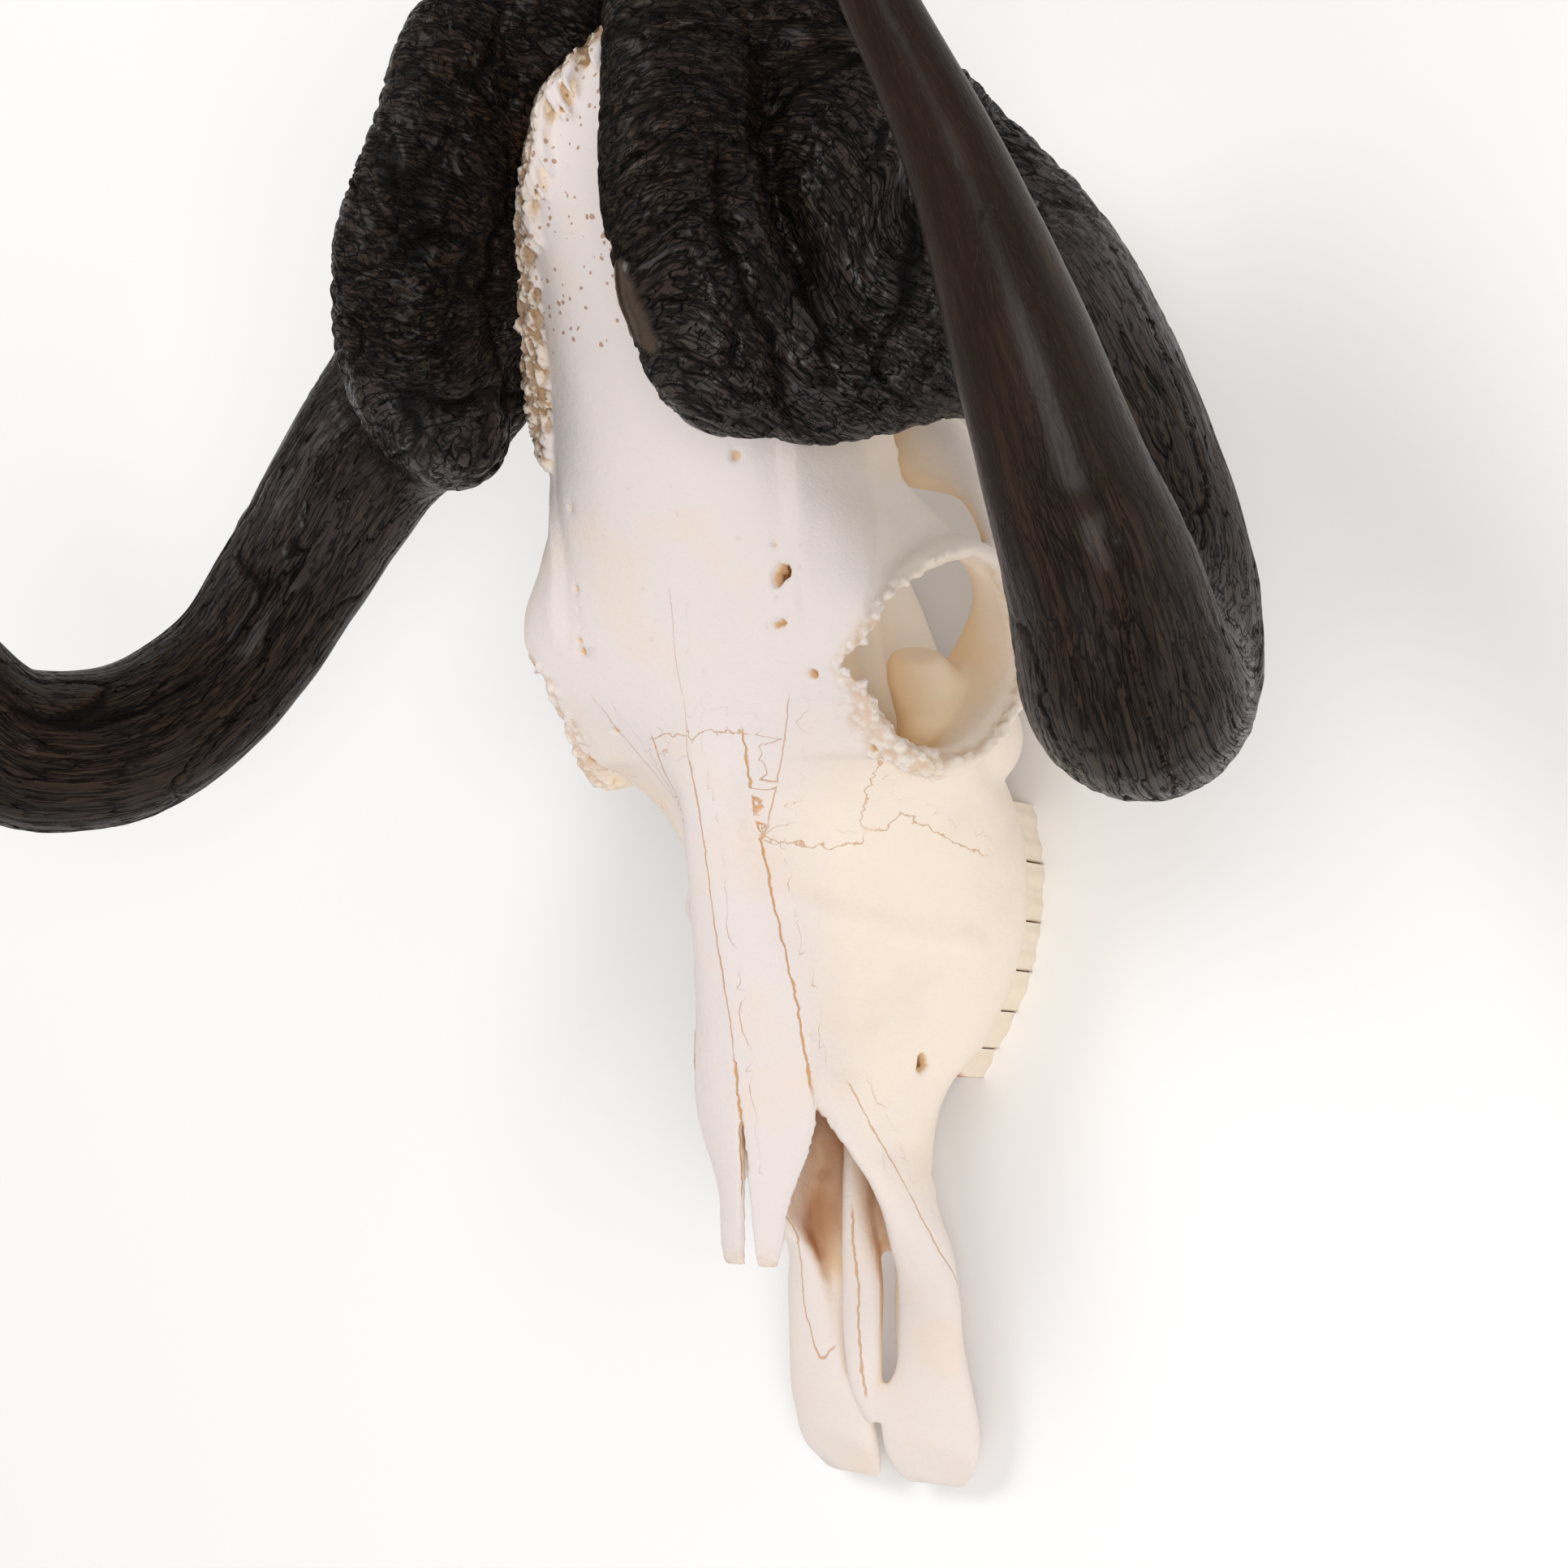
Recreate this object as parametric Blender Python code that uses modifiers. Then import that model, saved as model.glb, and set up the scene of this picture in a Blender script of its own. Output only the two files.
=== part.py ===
"""Skull of a grown black wildebeest: the bone with its horn cores, two horn sheaths and twelve cheek teeth.

The skull lies as it does on a table, on its cheek teeth and the two paroccipital processes.
Every place is given in millimetres as (x, back, up): x goes out from the midline to the animal's left,
back goes from the tips of the premaxillae towards the occiput, and up rises from the plane on which the
cheek teeth wear. place() turns that into metres in the part's own frame, whose origin is under the middle
of the skull.
"""

import math

import bmesh
import bpy
from mathutils import Matrix, Vector

MM = 0.001
ORIGIN_BACK = 245.0
JOINT_GAP = 0.3
SHEATH_GAP = 1.0
MIDLINE_SNAP = 0.25

# The dorsal half outlines of the muzzle, from the midline of the roof to the midline of the palate.
MUZZLE = (
    (116, ((0, 76), (12, 78), (24, 80), (28.5, 72), (31, 60), (32, 48),
           (30, 37), (23.5, 26), (13, 24), (0, 25))),
    (134, ((0, 101), (14, 99.5), (25, 94), (30, 82), (34, 67),
           (37, 52), (36.5, 37), (27, 25), (15, 23), (0, 25))),
    (152, ((0, 107), (13, 104.5), (24, 97), (32, 82), (38, 66),
           (43, 50), (46, 34), (40, 19), (22, 21), (0, 26))),
    (178, ((0, 114.5), (12, 111.5), (21, 104), (32, 87), (42, 69),
           (51, 51), (54, 35), (50.5, 17), (30, 20), (0, 26))),
    (206, ((0, 123), (10, 120.5), (17, 114), (30, 98), (45, 78),
           (57, 58), (59.5, 40), (54, 18), (34, 20), (0, 27))),
    (226, ((0, 129), (9, 127), (16, 121), (33, 106), (51, 89),
           (61, 68), (62, 48), (51, 20), (32, 21), (0, 28))),
    (243, ((0, 134), (14, 131), (32, 124), (51, 118), (64, 111),
           (71, 88), (64, 58), (46, 26), (26, 24), (0, 32))),
)
# The brain case and the bones between the orbits, again as half outlines.
BRAINCASE = (
    (236, ((0, 131), (22, 125), (33, 108), (33, 88), (30, 66), (26, 42), (12, 31), (0, 32))),
    (262, ((0, 138), (24, 135), (33, 118), (31, 96), (26, 74), (20, 50), (10, 40), (0, 44))),
    (290, ((0, 146), (26, 142), (32, 122), (29, 100), (24, 80), (17, 62), (8, 54), (0, 54))),
    (318, ((0, 157), (30, 151), (34, 128), (33, 104), (28, 84), (18, 66), (9, 58), (0, 57))),
    (345, ((0, 168), (40, 160), (46, 136), (46, 112), (42, 92), (27, 72), (12, 60), (0, 58))),
    (380, ((0, 182), (46, 172), (52, 146), (52, 120), (47, 96), (30, 74), (13, 60), (0, 57))),
    (412, ((0, 193), (46, 184), (53, 154), (54, 124), (50, 98), (34, 76), (15, 60), (0, 56))),
    (440, ((0, 196), (42, 186), (50, 156), (53, 126), (49, 100), (34, 80), (16, 66), (0, 62))),
    (456, ((0, 188), (34, 178), (42, 154), (44, 128), (38, 106), (26, 92), (12, 86), (0, 84))),
)
# The frontal plate: its upper surface, with the plate's thickness at the midline and at the lateral edge.
FRONTAL = (
    (238, ((0, 132.5), (16, 127), (34, 121), (51, 117), (62, 112)), 16, 7),
    (250, ((0, 136), (20, 133.5), (38, 130), (53, 127), (63, 124)), 16, 7),
    (264, ((0, 140), (22, 139.5), (42, 138.5), (57, 137.5), (67, 136.5)), 18, 7),
    (284, ((0, 146), (22, 146), (43, 145), (60, 143.5), (74, 139)), 18, 8),
    (304, ((0, 153.5), (22, 153), (43, 150), (60, 144), (72.5, 133)), 20, 13),
    (324, ((0, 162.5), (22, 162), (42, 156.5), (56, 145.5), (66, 130)), 22, 22),
    (346, ((0, 172.5), (24, 170), (43, 161), (55, 148.5), (62, 134)), 24, 26),
    (378, ((0, 186), (24, 183), (43, 172), (54, 158), (60, 144)), 26, 28),
    (412, ((0, 199.5), (21, 197), (38, 186), (51, 169), (57, 152)), 28, 30),
    (440, ((0, 203), (16, 201.5), (32, 194), (46, 178), (53, 158)), 30, 30),
    (464, ((0, 192), (14, 190), (29, 182), (41, 168), (48, 150)), 30, 28),
)
# The rim of the left orbit, once round from its upper front corner: the half thickness of the bone there,
# and how deep the wall behind it reaches towards the midline.
ORBIT_RIM = (
    (63, 259, 128, 4.6, 14), (68.5, 272, 135.5, 4.6, 14), (75.5, 286, 131, 4.6, 12), (81, 299, 117, 4.4, 12),
    (84, 305, 100, 4.0, 16), (85.5, 301, 84, 3.8, 21), (86, 290, 73, 3.8, 25), (84.5, 277, 67, 3.8, 28),
    (82, 263, 67, 4.2, 26), (78, 250, 73, 4.4, 20), (74.5, 240.5, 83, 4.6, 16), (70.5, 236.5, 96, 4.6, 14),
    (66.5, 240, 109, 4.6, 14), (63, 249, 119, 4.6, 14),
)
ORBIT_CENTRE = (77.5, 270.5, 104)
# The edge of the orbit's opening, once round from its upper rear corner over the brow.
ORBIT_EDGE = (
    (81.2, 301.5, 98), (84.3, 299, 112), (83.8, 296, 119.5), (81.5, 291.8, 126.3), (78.5, 286, 131),
    (76.2, 281, 133.5), (73.4, 275.5, 136), (70, 270.5, 137.5), (66, 266.5, 137.5), (62.5, 262.8, 136),
    (63.5, 259.8, 132.8), (65.4, 257, 128.8), (66.1, 254, 123.6), (66.6, 250.6, 119.5), (67, 247, 113.8),
    (68, 243.8, 108.5), (69.5, 241.6, 102), (71.8, 240.8, 96), (74, 241.8, 89), (76.2, 243.6, 84),
    (78.2, 246.8, 79), (80.2, 250.9, 74.9), (81.6, 256.3, 71.6), (82.6, 262.6, 69.6), (83.4, 269.2, 69),
    (83.8, 276.9, 70.3), (84.5, 284.2, 74.2), (84.3, 290.5, 78.5), (83.2, 296, 83), (81.8, 300, 88),
)
# How the opening narrows from outside its edge to the apex beside the optic canal: size and shift.
ORBIT_FUNNEL = (
    (1.05, (15, -2, 9)), (1.0, (1.2, 0, 0.8)), (0.985, (-2.5, 0.5, -1.2)), (0.93, (-6, 1, -2)),
    (0.83, (-15, 4, -1)), (0.6, (-30, 14, 0)), (0.28, (-42, 22, -2)),
)
# The zygomatic arch from under the orbit back to its root: x, back, up, half thickness and half height.
ARCH = (
    (84, 280, 70, 3.8, 6), (83.5, 298, 76, 3.8, 6.5), (80.5, 314, 82, 4, 7), (76.5, 328, 87, 6, 7.5),
    (66, 341, 91, 11, 9), (52, 351, 95, 15, 12), (38, 364, 98, 15, 13),
)
# The postorbital bar as pairs of points, on its edge at the orbit and on its edge at the temporal opening.
POSTORBITAL = (
    ((72, 276, 139), (60, 341, 132)), ((76, 286, 131), (63, 337, 121)), ((80, 297, 115), (68.5, 325, 110)),
    ((83, 303, 101), (75, 315, 99)), ((85.5, 301, 87), (82.5, 306, 90)), ((86.5, 291, 75), (85.5, 298, 80)),
)
POSTORBITAL_THICK = 6.0
# Each premaxilla with the front border of the maxilla: centre, half height along the bar's leaning section,
# half thickness, and the lean of that section in degrees from upright, its top towards the midline.
PREMAXILLA = (
    (17, -1.8, 8, 12.5, 3.2, 86), (19.4, 7.5, 13.6, 18.4, 5.0, 84), (20.8, 20, 17.5, 19.6, 5.4, 82),
    (21.6, 29, 20.5, 18.8, 5.4, 82), (24.3, 37, 22, 14.8, 5.4, 82), (25.2, 48, 24.4, 12.6, 5.4, 82),
    (26, 64, 27.8, 11.5, 5.4, 71), (26, 75, 31, 11, 5.3, 47), (26.3, 88, 38, 13, 5.0, 11),
    (25.7, 101, 45, 18.5, 4.6, -4), (25.5, 117, 54.5, 26, 4.3, -2), (29.5, 136, 60, 32, 4.8, 4),
)
# The thin inner shelf of each premaxilla, beside the incisive fissure.
PREMAXILLA_SHELF = (
    (17, 34, 18.5, 7, 3.0), (15.5, 45, 21.5, 7, 3.2), (15, 60, 23.5, 6.5, 3.4), (16.5, 74, 25.5, 7, 3.6),
    (18, 88, 28, 9, 4), (18, 102, 29, 10, 4),
)
# The nasal bones' free ends: back, inner and outer edge, height of the ridge and of the outer edge.
NASALS = (
    (70, 2.4, 9.4, 88.8, 88.0), (74, 2.4, 10.4, 90.4, 89), (84, 1.9, 12, 92.8, 90.3), (97, 1.4, 14.5, 96, 91.5),
    (112, 1.0, 21, 99.2, 93), (126, 0.6, 25, 101.8, 94.5), (150, -1, 25, 106, 97),
)
NASAL_THICK = 3.4
# The palatal processes and the vomer, and the plate that closes the palate behind the incisive fissures:
# back, up, half width and half height.
SEPTUM = (
    (20, 21, 3.0, 3.4), (32, 27, 6.5, 4.2), (50, 30, 8.0, 4.4), (66, 31, 8.2, 4.8), (80, 33, 7, 6.5),
    (92, 34, 5.5, 7.5), (120, 35, 5.5, 8), (150, 36, 5.5, 9),
)
PALATE = ((77, 27.5, 7, 2.5), (83, 27.5, 17, 3.6), (93, 28, 22, 4.2), (106, 28.5, 26, 4.6), (122, 29, 27, 5))
# What is cut away as the nasal cavity, as half outlines inside the muzzle's walls.
NASAL_CAVITY = (
    (64, ((0, 87), (10, 84), (16, 74), (17, 60), (15, 48), (11, 40), (0, 38))),
    (104, ((0, 94), (14, 91), (21, 83), (23, 66), (22, 50), (18, 35), (0, 34))),
    (134, ((0, 96), (14, 94), (24, 87), (29, 68), (30, 50), (24, 33), (0, 35))),
    (170, ((0, 107), (11, 104), (20, 96), (30, 78), (37, 56), (32, 34), (0, 35))),
    (214, ((0, 112), (8, 110), (14, 103), (22, 90), (26, 68), (20, 48), (0, 46))),
)
# Horn: centre line from the midline out and round to the tip, with its half width along the skull and half
# height at the boss, and across and along the bend further out.
HORN = (
    (50, 424, 182, 38, 22), (70, 412, 172, 50, 29), (95, 389, 160, 51, 30), (126, 370, 144, 40, 26),
    (150, 349, 144, 30, 27), (179, 305, 151, 26, 26), (197, 271, 163, 25.5, 25.5), (212, 244, 193, 28, 28),
    (229, 239.5, 231, 27.5, 28), (237, 264, 260, 23.5, 23.5), (234, 283, 270, 20.5, 20.5),
    (229, 317, 286, 17, 17), (222, 354, 303, 12.2, 12.2), (212, 388, 321, 9, 9), (202, 424, 342, 6.4, 6.4),
    (193, 452, 363, 3.8, 3.8), (188, 466, 375, 1.4, 1.4),
)
HORN_CORE = (
    (38, 405, 168, 38, 20), (66, 402, 164, 42, 22), (95, 389, 157, 35, 20), (126, 370, 143, 21, 16),
    (150, 349, 144, 17, 17), (179, 305, 151, 14, 14), (197, 272, 162, 9, 9), (205, 256, 175, 4, 4),
)
# The swollen lobe along the inner edge of each boss, the rounded rear of the boss, and the pad that closes
# the crown behind it. The right sheath's pad reaches over the midline.
BOSS_LOBE = (
    (45, 486, 189, 7, 8), (44, 478, 195, 17, 17), (45, 460, 203, 24, 24), (49.5, 432, 207.5, 25, 25),
    (58, 392, 214, 25, 25), (64, 365, 205, 25, 25), (70, 352, 190, 24, 24), (78, 346, 175, 20, 22),
    (92, 347, 163, 18, 19), (110, 352, 152, 17, 18),
)
BOSS_REAR = ((60, 450, 178), (33, 28, 29))
BOSS_PADS = {"left": ((36, 464, 196), (18, 24, 20)), "right": ((24, 466, 190), (30, 24, 24))}
# The wall under the lobe, down to the sheath's edge on the bone.
BOSS_FOOT = (
    (30, 470, 190, 7, 6), (32, 452, 197, 16, 12), (42, 425, 200, 15, 14), (52, 394, 190, 15, 16),
    (70, 368, 176, 13, 14), (84, 353, 163, 11, 12),
)
# The saddle that fills the furrow between that lobe and the rest of the boss.
BOSS_SADDLE = (
    (54, 480, 172, 6, 6), (60, 464, 180, 18, 15), (72, 430, 184, 20, 14), (76, 395, 182, 22, 14),
    (80, 368, 174, 20, 14), (86, 354, 164, 14, 12),
)
# The second swelling of the boss, outside the furrow.
BOSS_SHOULDER = (
    (70, 474, 152, 7, 7), (78, 454, 160, 20, 20), (85, 425, 168, 24, 24), (91, 395, 174, 25, 25),
    (98, 370, 165, 24, 24), (108, 352, 154, 20, 20),
)
# Cheek teeth of the left row: name, where the tooth starts, its length, its outer wall at front and back,
# and its width.
TEETH = (
    ("premolar_2", 138.5, 10.5, 25, 30, 11), ("premolar_3", 149, 13, 31, 38, 14),
    ("premolar_4", 162, 14, 38.5, 44, 17), ("molar_1", 176, 17, 44, 47, 19),
    ("molar_2", 193, 20.5, 47, 47.5, 20), ("molar_3", 213.5, 21, 47, 42, 18),
)
# How far each level of a crown and of its socket stands out from the wearing edge, as the roots spread.
CROWN_LEAN = ((0, 0.0, 0.6), (3, 0.5, 0), (12, 2.0, 0), (21, 3.0, 0))
SOCKET_LEAN = ((-2, -0.3), (12, 2.0), (21.3, 3.0))

BONE_VOXEL = 2.0
BONE_FACES = 3150
SHEATH_VOXEL = 2.4
SHEATH_FACES = 900

BONE_COLOUR = (0.80, 0.72, 0.63, 1)
HORN_COLOUR = (0.022, 0.017, 0.014, 1)
ENAMEL_COLOUR = (0.78, 0.72, 0.60, 1)


def place(x, back, up):
    return Vector((x, back - ORIGIN_BACK, up)) * MM


def smooth_run(stations, per_span):
    """Catmull-Rom points through tuples of any length."""
    first = [2 * a - b for a, b in zip(stations[0], stations[1])]
    last = [2 * a - b for a, b in zip(stations[-1], stations[-2])]
    ends = [first, *stations, last]
    run = []
    for a, b, c, d in zip(ends, ends[1:], ends[2:], ends[3:]):
        for step in range(per_span):
            t = step / per_span
            run.append(tuple(
                0.5 * (2 * q + (r - p) * t + (2 * p - 5 * q + 4 * r - s) * t ** 2
                       + (3 * q - p - 3 * r + s) * t ** 3)
                for p, q, r, s in zip(a, b, c, d)
            ))
    return [*run, tuple(stations[-1])]


def material(name, colour, roughness):
    made = bpy.data.materials.new(name)
    made.use_nodes = True
    shader = made.node_tree.nodes["Principled BSDF"]
    shader.inputs["Base Color"].default_value = colour
    shader.inputs["Roughness"].default_value = roughness
    made.diffuse_color = colour
    return made


def object_of(bm, name, collection):
    """A mesh object from a bmesh, with its faces turned outwards."""
    bmesh.ops.recalc_face_normals(bm, faces=bm.faces)
    mesh = bpy.data.meshes.new(name)
    bm.to_mesh(mesh)
    bm.free()
    made = bpy.data.objects.new(name, mesh)
    collection.objects.link(made)
    return made


def add_loft(bm, rings):
    """Joins rings of equally many points with quads, and closes both ends."""
    rows = [[bm.verts.new(place(*point)) for point in ring] for ring in rings]
    count = len(rows[0])
    for low, high in zip(rows, rows[1:]):
        for i in range(count):
            j = (i + 1) % count
            bm.faces.new((low[i], low[j], high[j], high[i]))
    bm.faces.new(rows[0])
    bm.faces.new(rows[-1])


def half_outlines(sections, per_span):
    """Full rings from half outlines, with sections added in between by a smooth run."""
    flat = [(back, *[value for point in outline for value in point]) for back, outline in sections]
    rings = []
    for row in smooth_run(flat, per_span):
        back, values = row[0], row[1:]
        half = smooth_run([(values[i], values[i + 1]) for i in range(0, len(values), 2)], 2)
        left = [(max(x, 0.0), back, up) for x, up in half]
        rings.append(left + [(-x, back, up) for x, _, up in reversed(left[1:-1])])
    return rings


def add_tube(bm, stations, per_span=4, sides=16, upright=(0, 0, 1)):
    """A tube along (x, back, up, across, high), whose high half axis follows the bends untwisted."""
    run = smooth_run(stations, per_span)
    centres = [Vector(row[:3]) for row in run]
    rings = []
    high = Vector(upright)
    for i, row in enumerate(run):
        along = (centres[min(i + 1, len(run) - 1)] - centres[max(i - 1, 0)]).normalized()
        across = along.cross(high).normalized()
        high = across.cross(along)
        ring = []
        for k in range(sides):
            angle = 2 * math.pi * k / sides
            ring.append(centres[i] + across * math.cos(angle) * row[3] + high * math.sin(angle) * row[4])
        rings.append(ring)
    add_loft(bm, rings)


def add_ball(bm, centre, radii):
    made = bmesh.ops.create_icosphere(bm, subdivisions=3, radius=1)
    size = Matrix.Diagonal((*[r * MM for r in radii], 1))
    bmesh.ops.transform(bm, matrix=Matrix.Translation(place(*centre)) @ size, verts=made["verts"])


def add_block(bm, low, high):
    middle = [(a + b) / 2 for a, b in zip(low, high)]
    size = Matrix.Diagonal((*[(b - a) * MM for a, b in zip(low, high)], 1))
    made = bmesh.ops.create_cube(bm, size=1)
    bmesh.ops.transform(bm, matrix=Matrix.Translation(place(*middle)) @ size, verts=made["verts"])


def settle(made):
    """Makes the object's mesh what its modifiers show, and drops the modifiers."""
    graph = bpy.context.evaluated_depsgraph_get()
    mesh = bpy.data.meshes.new_from_object(made.evaluated_get(graph))
    made.modifiers.clear()
    made.data = mesh


def fuse(made, voxel, rounds):
    """One skin over all the shapes in the object, with the creases between them softened."""
    remesh = made.modifiers.new("one skin", "REMESH")
    remesh.mode = "VOXEL"
    remesh.voxel_size = voxel * MM
    soften = made.modifiers.new("soften", "SMOOTH")
    soften.factor = 0.5
    soften.iterations = rounds
    settle(made)


def cut(made, cutter, operation="DIFFERENCE"):
    boolean = made.modifiers.new(cutter.name, "BOOLEAN")
    boolean.object = cutter
    boolean.operation = operation
    boolean.solver = "MANIFOLD"
    cutter.hide_render = True
    cutter.display_type = "WIRE"
    settle(made)


def thin_out(made, faces):
    """Collapses edges until about this many triangles are left."""
    decimate = made.modifiers.new("thin out", "DECIMATE")
    made.data.calc_loop_triangles()
    decimate.ratio = min(1.0, faces / len(made.data.loop_triangles))
    settle(made)


def keep_largest(made):
    """Drops the crumbs that a cut leaves beside the piece itself."""
    bm = bmesh.new()
    bm.from_mesh(made.data)
    islands, seen = [], set()
    for start in bm.verts:
        if start in seen:
            continue
        seen.add(start)
        island, edge = [start], [start]
        while edge:
            vert = edge.pop()
            for link in vert.link_edges:
                other = link.other_vert(vert)
                if other not in seen:
                    seen.add(other)
                    island.append(other)
                    edge.append(other)
        islands.append(island)
    islands.sort(key=len)
    for island in islands[:-1]:
        bmesh.ops.delete(bm, geom=island, context="VERTS")
    bm.to_mesh(made.data)
    bm.free()


def flip(mesh):
    """Turns a mesh on the animal's left into one on its right."""
    bm = bmesh.new()
    bm.from_mesh(mesh)
    bmesh.ops.transform(bm, matrix=Matrix.Diagonal((-1, 1, 1, 1)), verts=bm.verts)
    bmesh.ops.reverse_faces(bm, faces=bm.faces)
    bm.to_mesh(mesh)
    bm.free()


def mirrored_copy(made, name):
    copy = bpy.data.objects.new(name, made.data.copy())
    flip(copy.data)
    made.users_collection[0].objects.link(copy)
    return copy


def add_frontal(bm):
    rings = []
    flat = [(back, mid, edge, *[v for p in top for v in p]) for back, top, mid, edge in FRONTAL]
    for row in smooth_run(flat, 3):
        back, mid, edge, values = row[0], row[1], row[2], row[3:]
        top = smooth_run([(values[i], values[i + 1]) for i in range(0, len(values), 2)], 2)
        width = top[-1][0]
        under = [(x * 0.97, up - mid - (edge - mid) * (x / width) ** 1.5) for x, up in reversed(top)]
        half = [(x, back, up) for x, up in (*top, *under)]
        rings.append(half + [(-x, b, up) for x, b, up in reversed(half[1:-1])])
    add_loft(bm, rings)


def add_orbit_rim(bm):
    """A closed ring of bone around the orbit, whose wall runs in towards the midline."""
    run = smooth_run((*ORBIT_RIM, ORBIT_RIM[0]), 2)[:-1]
    sides, rings = 12, []
    centre = Vector(ORBIT_CENTRE)
    for i, row in enumerate(run):
        point, thick, deep = Vector(row[:3]), row[3], row[4]
        along = (Vector(run[(i + 1) % len(run)][:3]) - Vector(run[i - 1][:3])).normalized()
        outward = (point - centre).normalized()
        inward = along.cross(outward).normalized()
        if inward.x > 0:
            inward.negate()
        middle = point + inward * (deep / 2 - thick)
        ring = []
        for k in range(sides):
            angle = 2 * math.pi * k / sides
            ring.append(middle + outward * math.cos(angle) * thick + inward * math.sin(angle) * deep / 2)
        rings.append([bm.verts.new(place(*p)) for p in ring])
    for low, high in zip(rings, rings[1:] + rings[:1]):
        for k in range(sides):
            m = (k + 1) % sides
            bm.faces.new((low[k], low[m], high[m], high[k]))


def add_postorbital(bm):
    """The flat bar between the orbit and the temporal opening, from the frontal down to the arch."""
    rings = []
    for row in smooth_run([(*near, *far) for near, far in POSTORBITAL], 4):
        near, far = Vector(row[:3]), Vector(row[3:])
        middle, reach = (near + far) / 2, (far - near) / 2
        face = reach.cross(Vector((0, 0.3, 1))).cross(reach).normalized()
        outward = (face + Vector((1, 0, 0))).normalized()
        edgewise = reach.normalized()
        side = (outward - edgewise * outward.dot(edgewise)).normalized() * POSTORBITAL_THICK / 2
        ring = []
        for k in range(12):
            angle = 2 * math.pi * k / 12
            ring.append(middle - side + reach * math.cos(angle) + side * math.sin(angle))
        rings.append(ring)
    add_loft(bm, rings)


def add_premaxilla(bm):
    rings = []
    for x, back, up, tall, thick, lean in smooth_run(PREMAXILLA, 3):
        angle = math.radians(lean)
        top = Vector((-math.sin(angle), 0, math.cos(angle)))
        side = Vector((math.cos(angle), 0, math.sin(angle)))
        centre = Vector((x, back, up))
        ring = []
        for k in range(16):
            turn = 2 * math.pi * k / 16
            ring.append(centre + top * math.sin(turn) * tall + side * math.cos(turn) * thick)
        rings.append(ring)
    add_loft(bm, rings)


def add_nasal(bm):
    """The left nasal bone's free end, a thin vault with a blunt tip."""
    rings = []
    for back, inner, outer, ridge, edge in smooth_run(NASALS, 4):
        top = []
        for k in range(7):
            share = k / 6
            x = inner + (outer - inner) * share
            up = ridge + (edge - ridge) * (x / outer) ** 2
            top.append((x, back, up))
        thick = NASAL_THICK * min(1.0, 0.8 + (back - NASALS[0][0]) / 40)
        rings.append(top + [(x, b, up - thick) for x, b, up in reversed(top)])
    add_loft(bm, rings)


def add_cranial_base(bm):
    """Condyle, paroccipital process, ear capsule, pterygoid and the lacrimal swelling of the left side."""
    add_ball(bm, (17, 452, 74), (12, 13, 17))
    paroccipital = (
        (40, 430, 96, 12, 17), (40, 425, 66, 7, 13), (39, 419, 36, 4.5, 9), (37.5, 414, 12, 3.8, 6),
        (37, 412, -4, 3.6, 5),
    )
    add_tube(bm, paroccipital, upright=(0, 1, 0))
    add_ball(bm, (29, 396, 56), (11, 16, 14))
    add_ball(bm, (52, 400, 100), (12, 20, 22))
    pterygoid = (
        (22, 236, 34, 4, 9), (19, 256, 32, 3, 12), (17, 276, 33, 2.6, 14), (16, 292, 44, 3, 14),
        (15, 312, 58, 6, 10),
    )
    add_tube(bm, pterygoid)
    add_ball(bm, (50, 252, 55), (19, 20, 25))
    swelling = ((49, 256, 58, 10, 16), (50, 264, 68, 9, 12), (51, 271, 76, 8.5, 8), (52, 276, 81, 6, 5.5))
    add_tube(bm, swelling, upright=(0, 1, 0))


def add_into(made, fill, *values):
    """Adds further shapes to an object's mesh, to be fused with it later."""
    bm = bmesh.new()
    bm.from_mesh(made.data)
    fill(bm, *values)
    bmesh.ops.recalc_face_normals(bm, faces=bm.faces)
    bm.to_mesh(made.data)
    bm.free()


def add_orbit_hollow(bm):
    """The eye's socket, from outside the rim down to the apex."""
    edge = smooth_run((*ORBIT_EDGE, ORBIT_EDGE[0]), 2)[:-1]
    centre = Vector(ORBIT_CENTRE)
    rings = []
    for size, shift in ORBIT_FUNNEL:
        rings.append([centre + (Vector(point) - centre) * size + Vector(shift) for point in edge])
    add_loft(bm, rings)


def add_front(bm):
    """What is thin at the front: the bones of the septum and the nasal bones' tips."""
    add_tube(bm, [(0, *row) for row in SEPTUM])
    add_nasal(bm)


def build_bone(collection, cutters):
    bm = bmesh.new()
    add_loft(bm, half_outlines(MUZZLE, 3))
    add_loft(bm, half_outlines(BRAINCASE, 3))
    add_frontal(bm)
    add_orbit_rim(bm)
    add_tube(bm, ARCH)
    add_postorbital(bm)
    add_premaxilla(bm)
    add_tube(bm, PREMAXILLA_SHELF)
    add_tube(bm, [(0, *row) for row in PALATE])
    add_cranial_base(bm)
    add_tube(bm, HORN_CORE, sides=20)
    bone = object_of(bm, "skull", collection)
    fuse(bone, BONE_VOXEL, 5)

    bm = bmesh.new()
    add_loft(bm, half_outlines(NASAL_CAVITY, 3))
    cavity = object_of(bm, "nasal_cavity_cutter", cutters)
    cut(bone, cavity)

    bm = bmesh.new()
    add_orbit_hollow(bm)
    orbit = object_of(bm, "orbit_cutter", cutters)
    cut(bone, orbit)

    bm = bmesh.new()
    add_tube(bm, ((0, 480, 80, 13, 12), (0, 455, 80, 12, 11), (0, 425, 86, 9, 9)))
    canal = object_of(bm, "foramen_magnum_cutter", cutters)
    cut(bone, canal)

    add_into(bone, add_front)
    fuse(bone, BONE_VOXEL, 2)
    thin_out(bone, BONE_FACES)
    return bone


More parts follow.
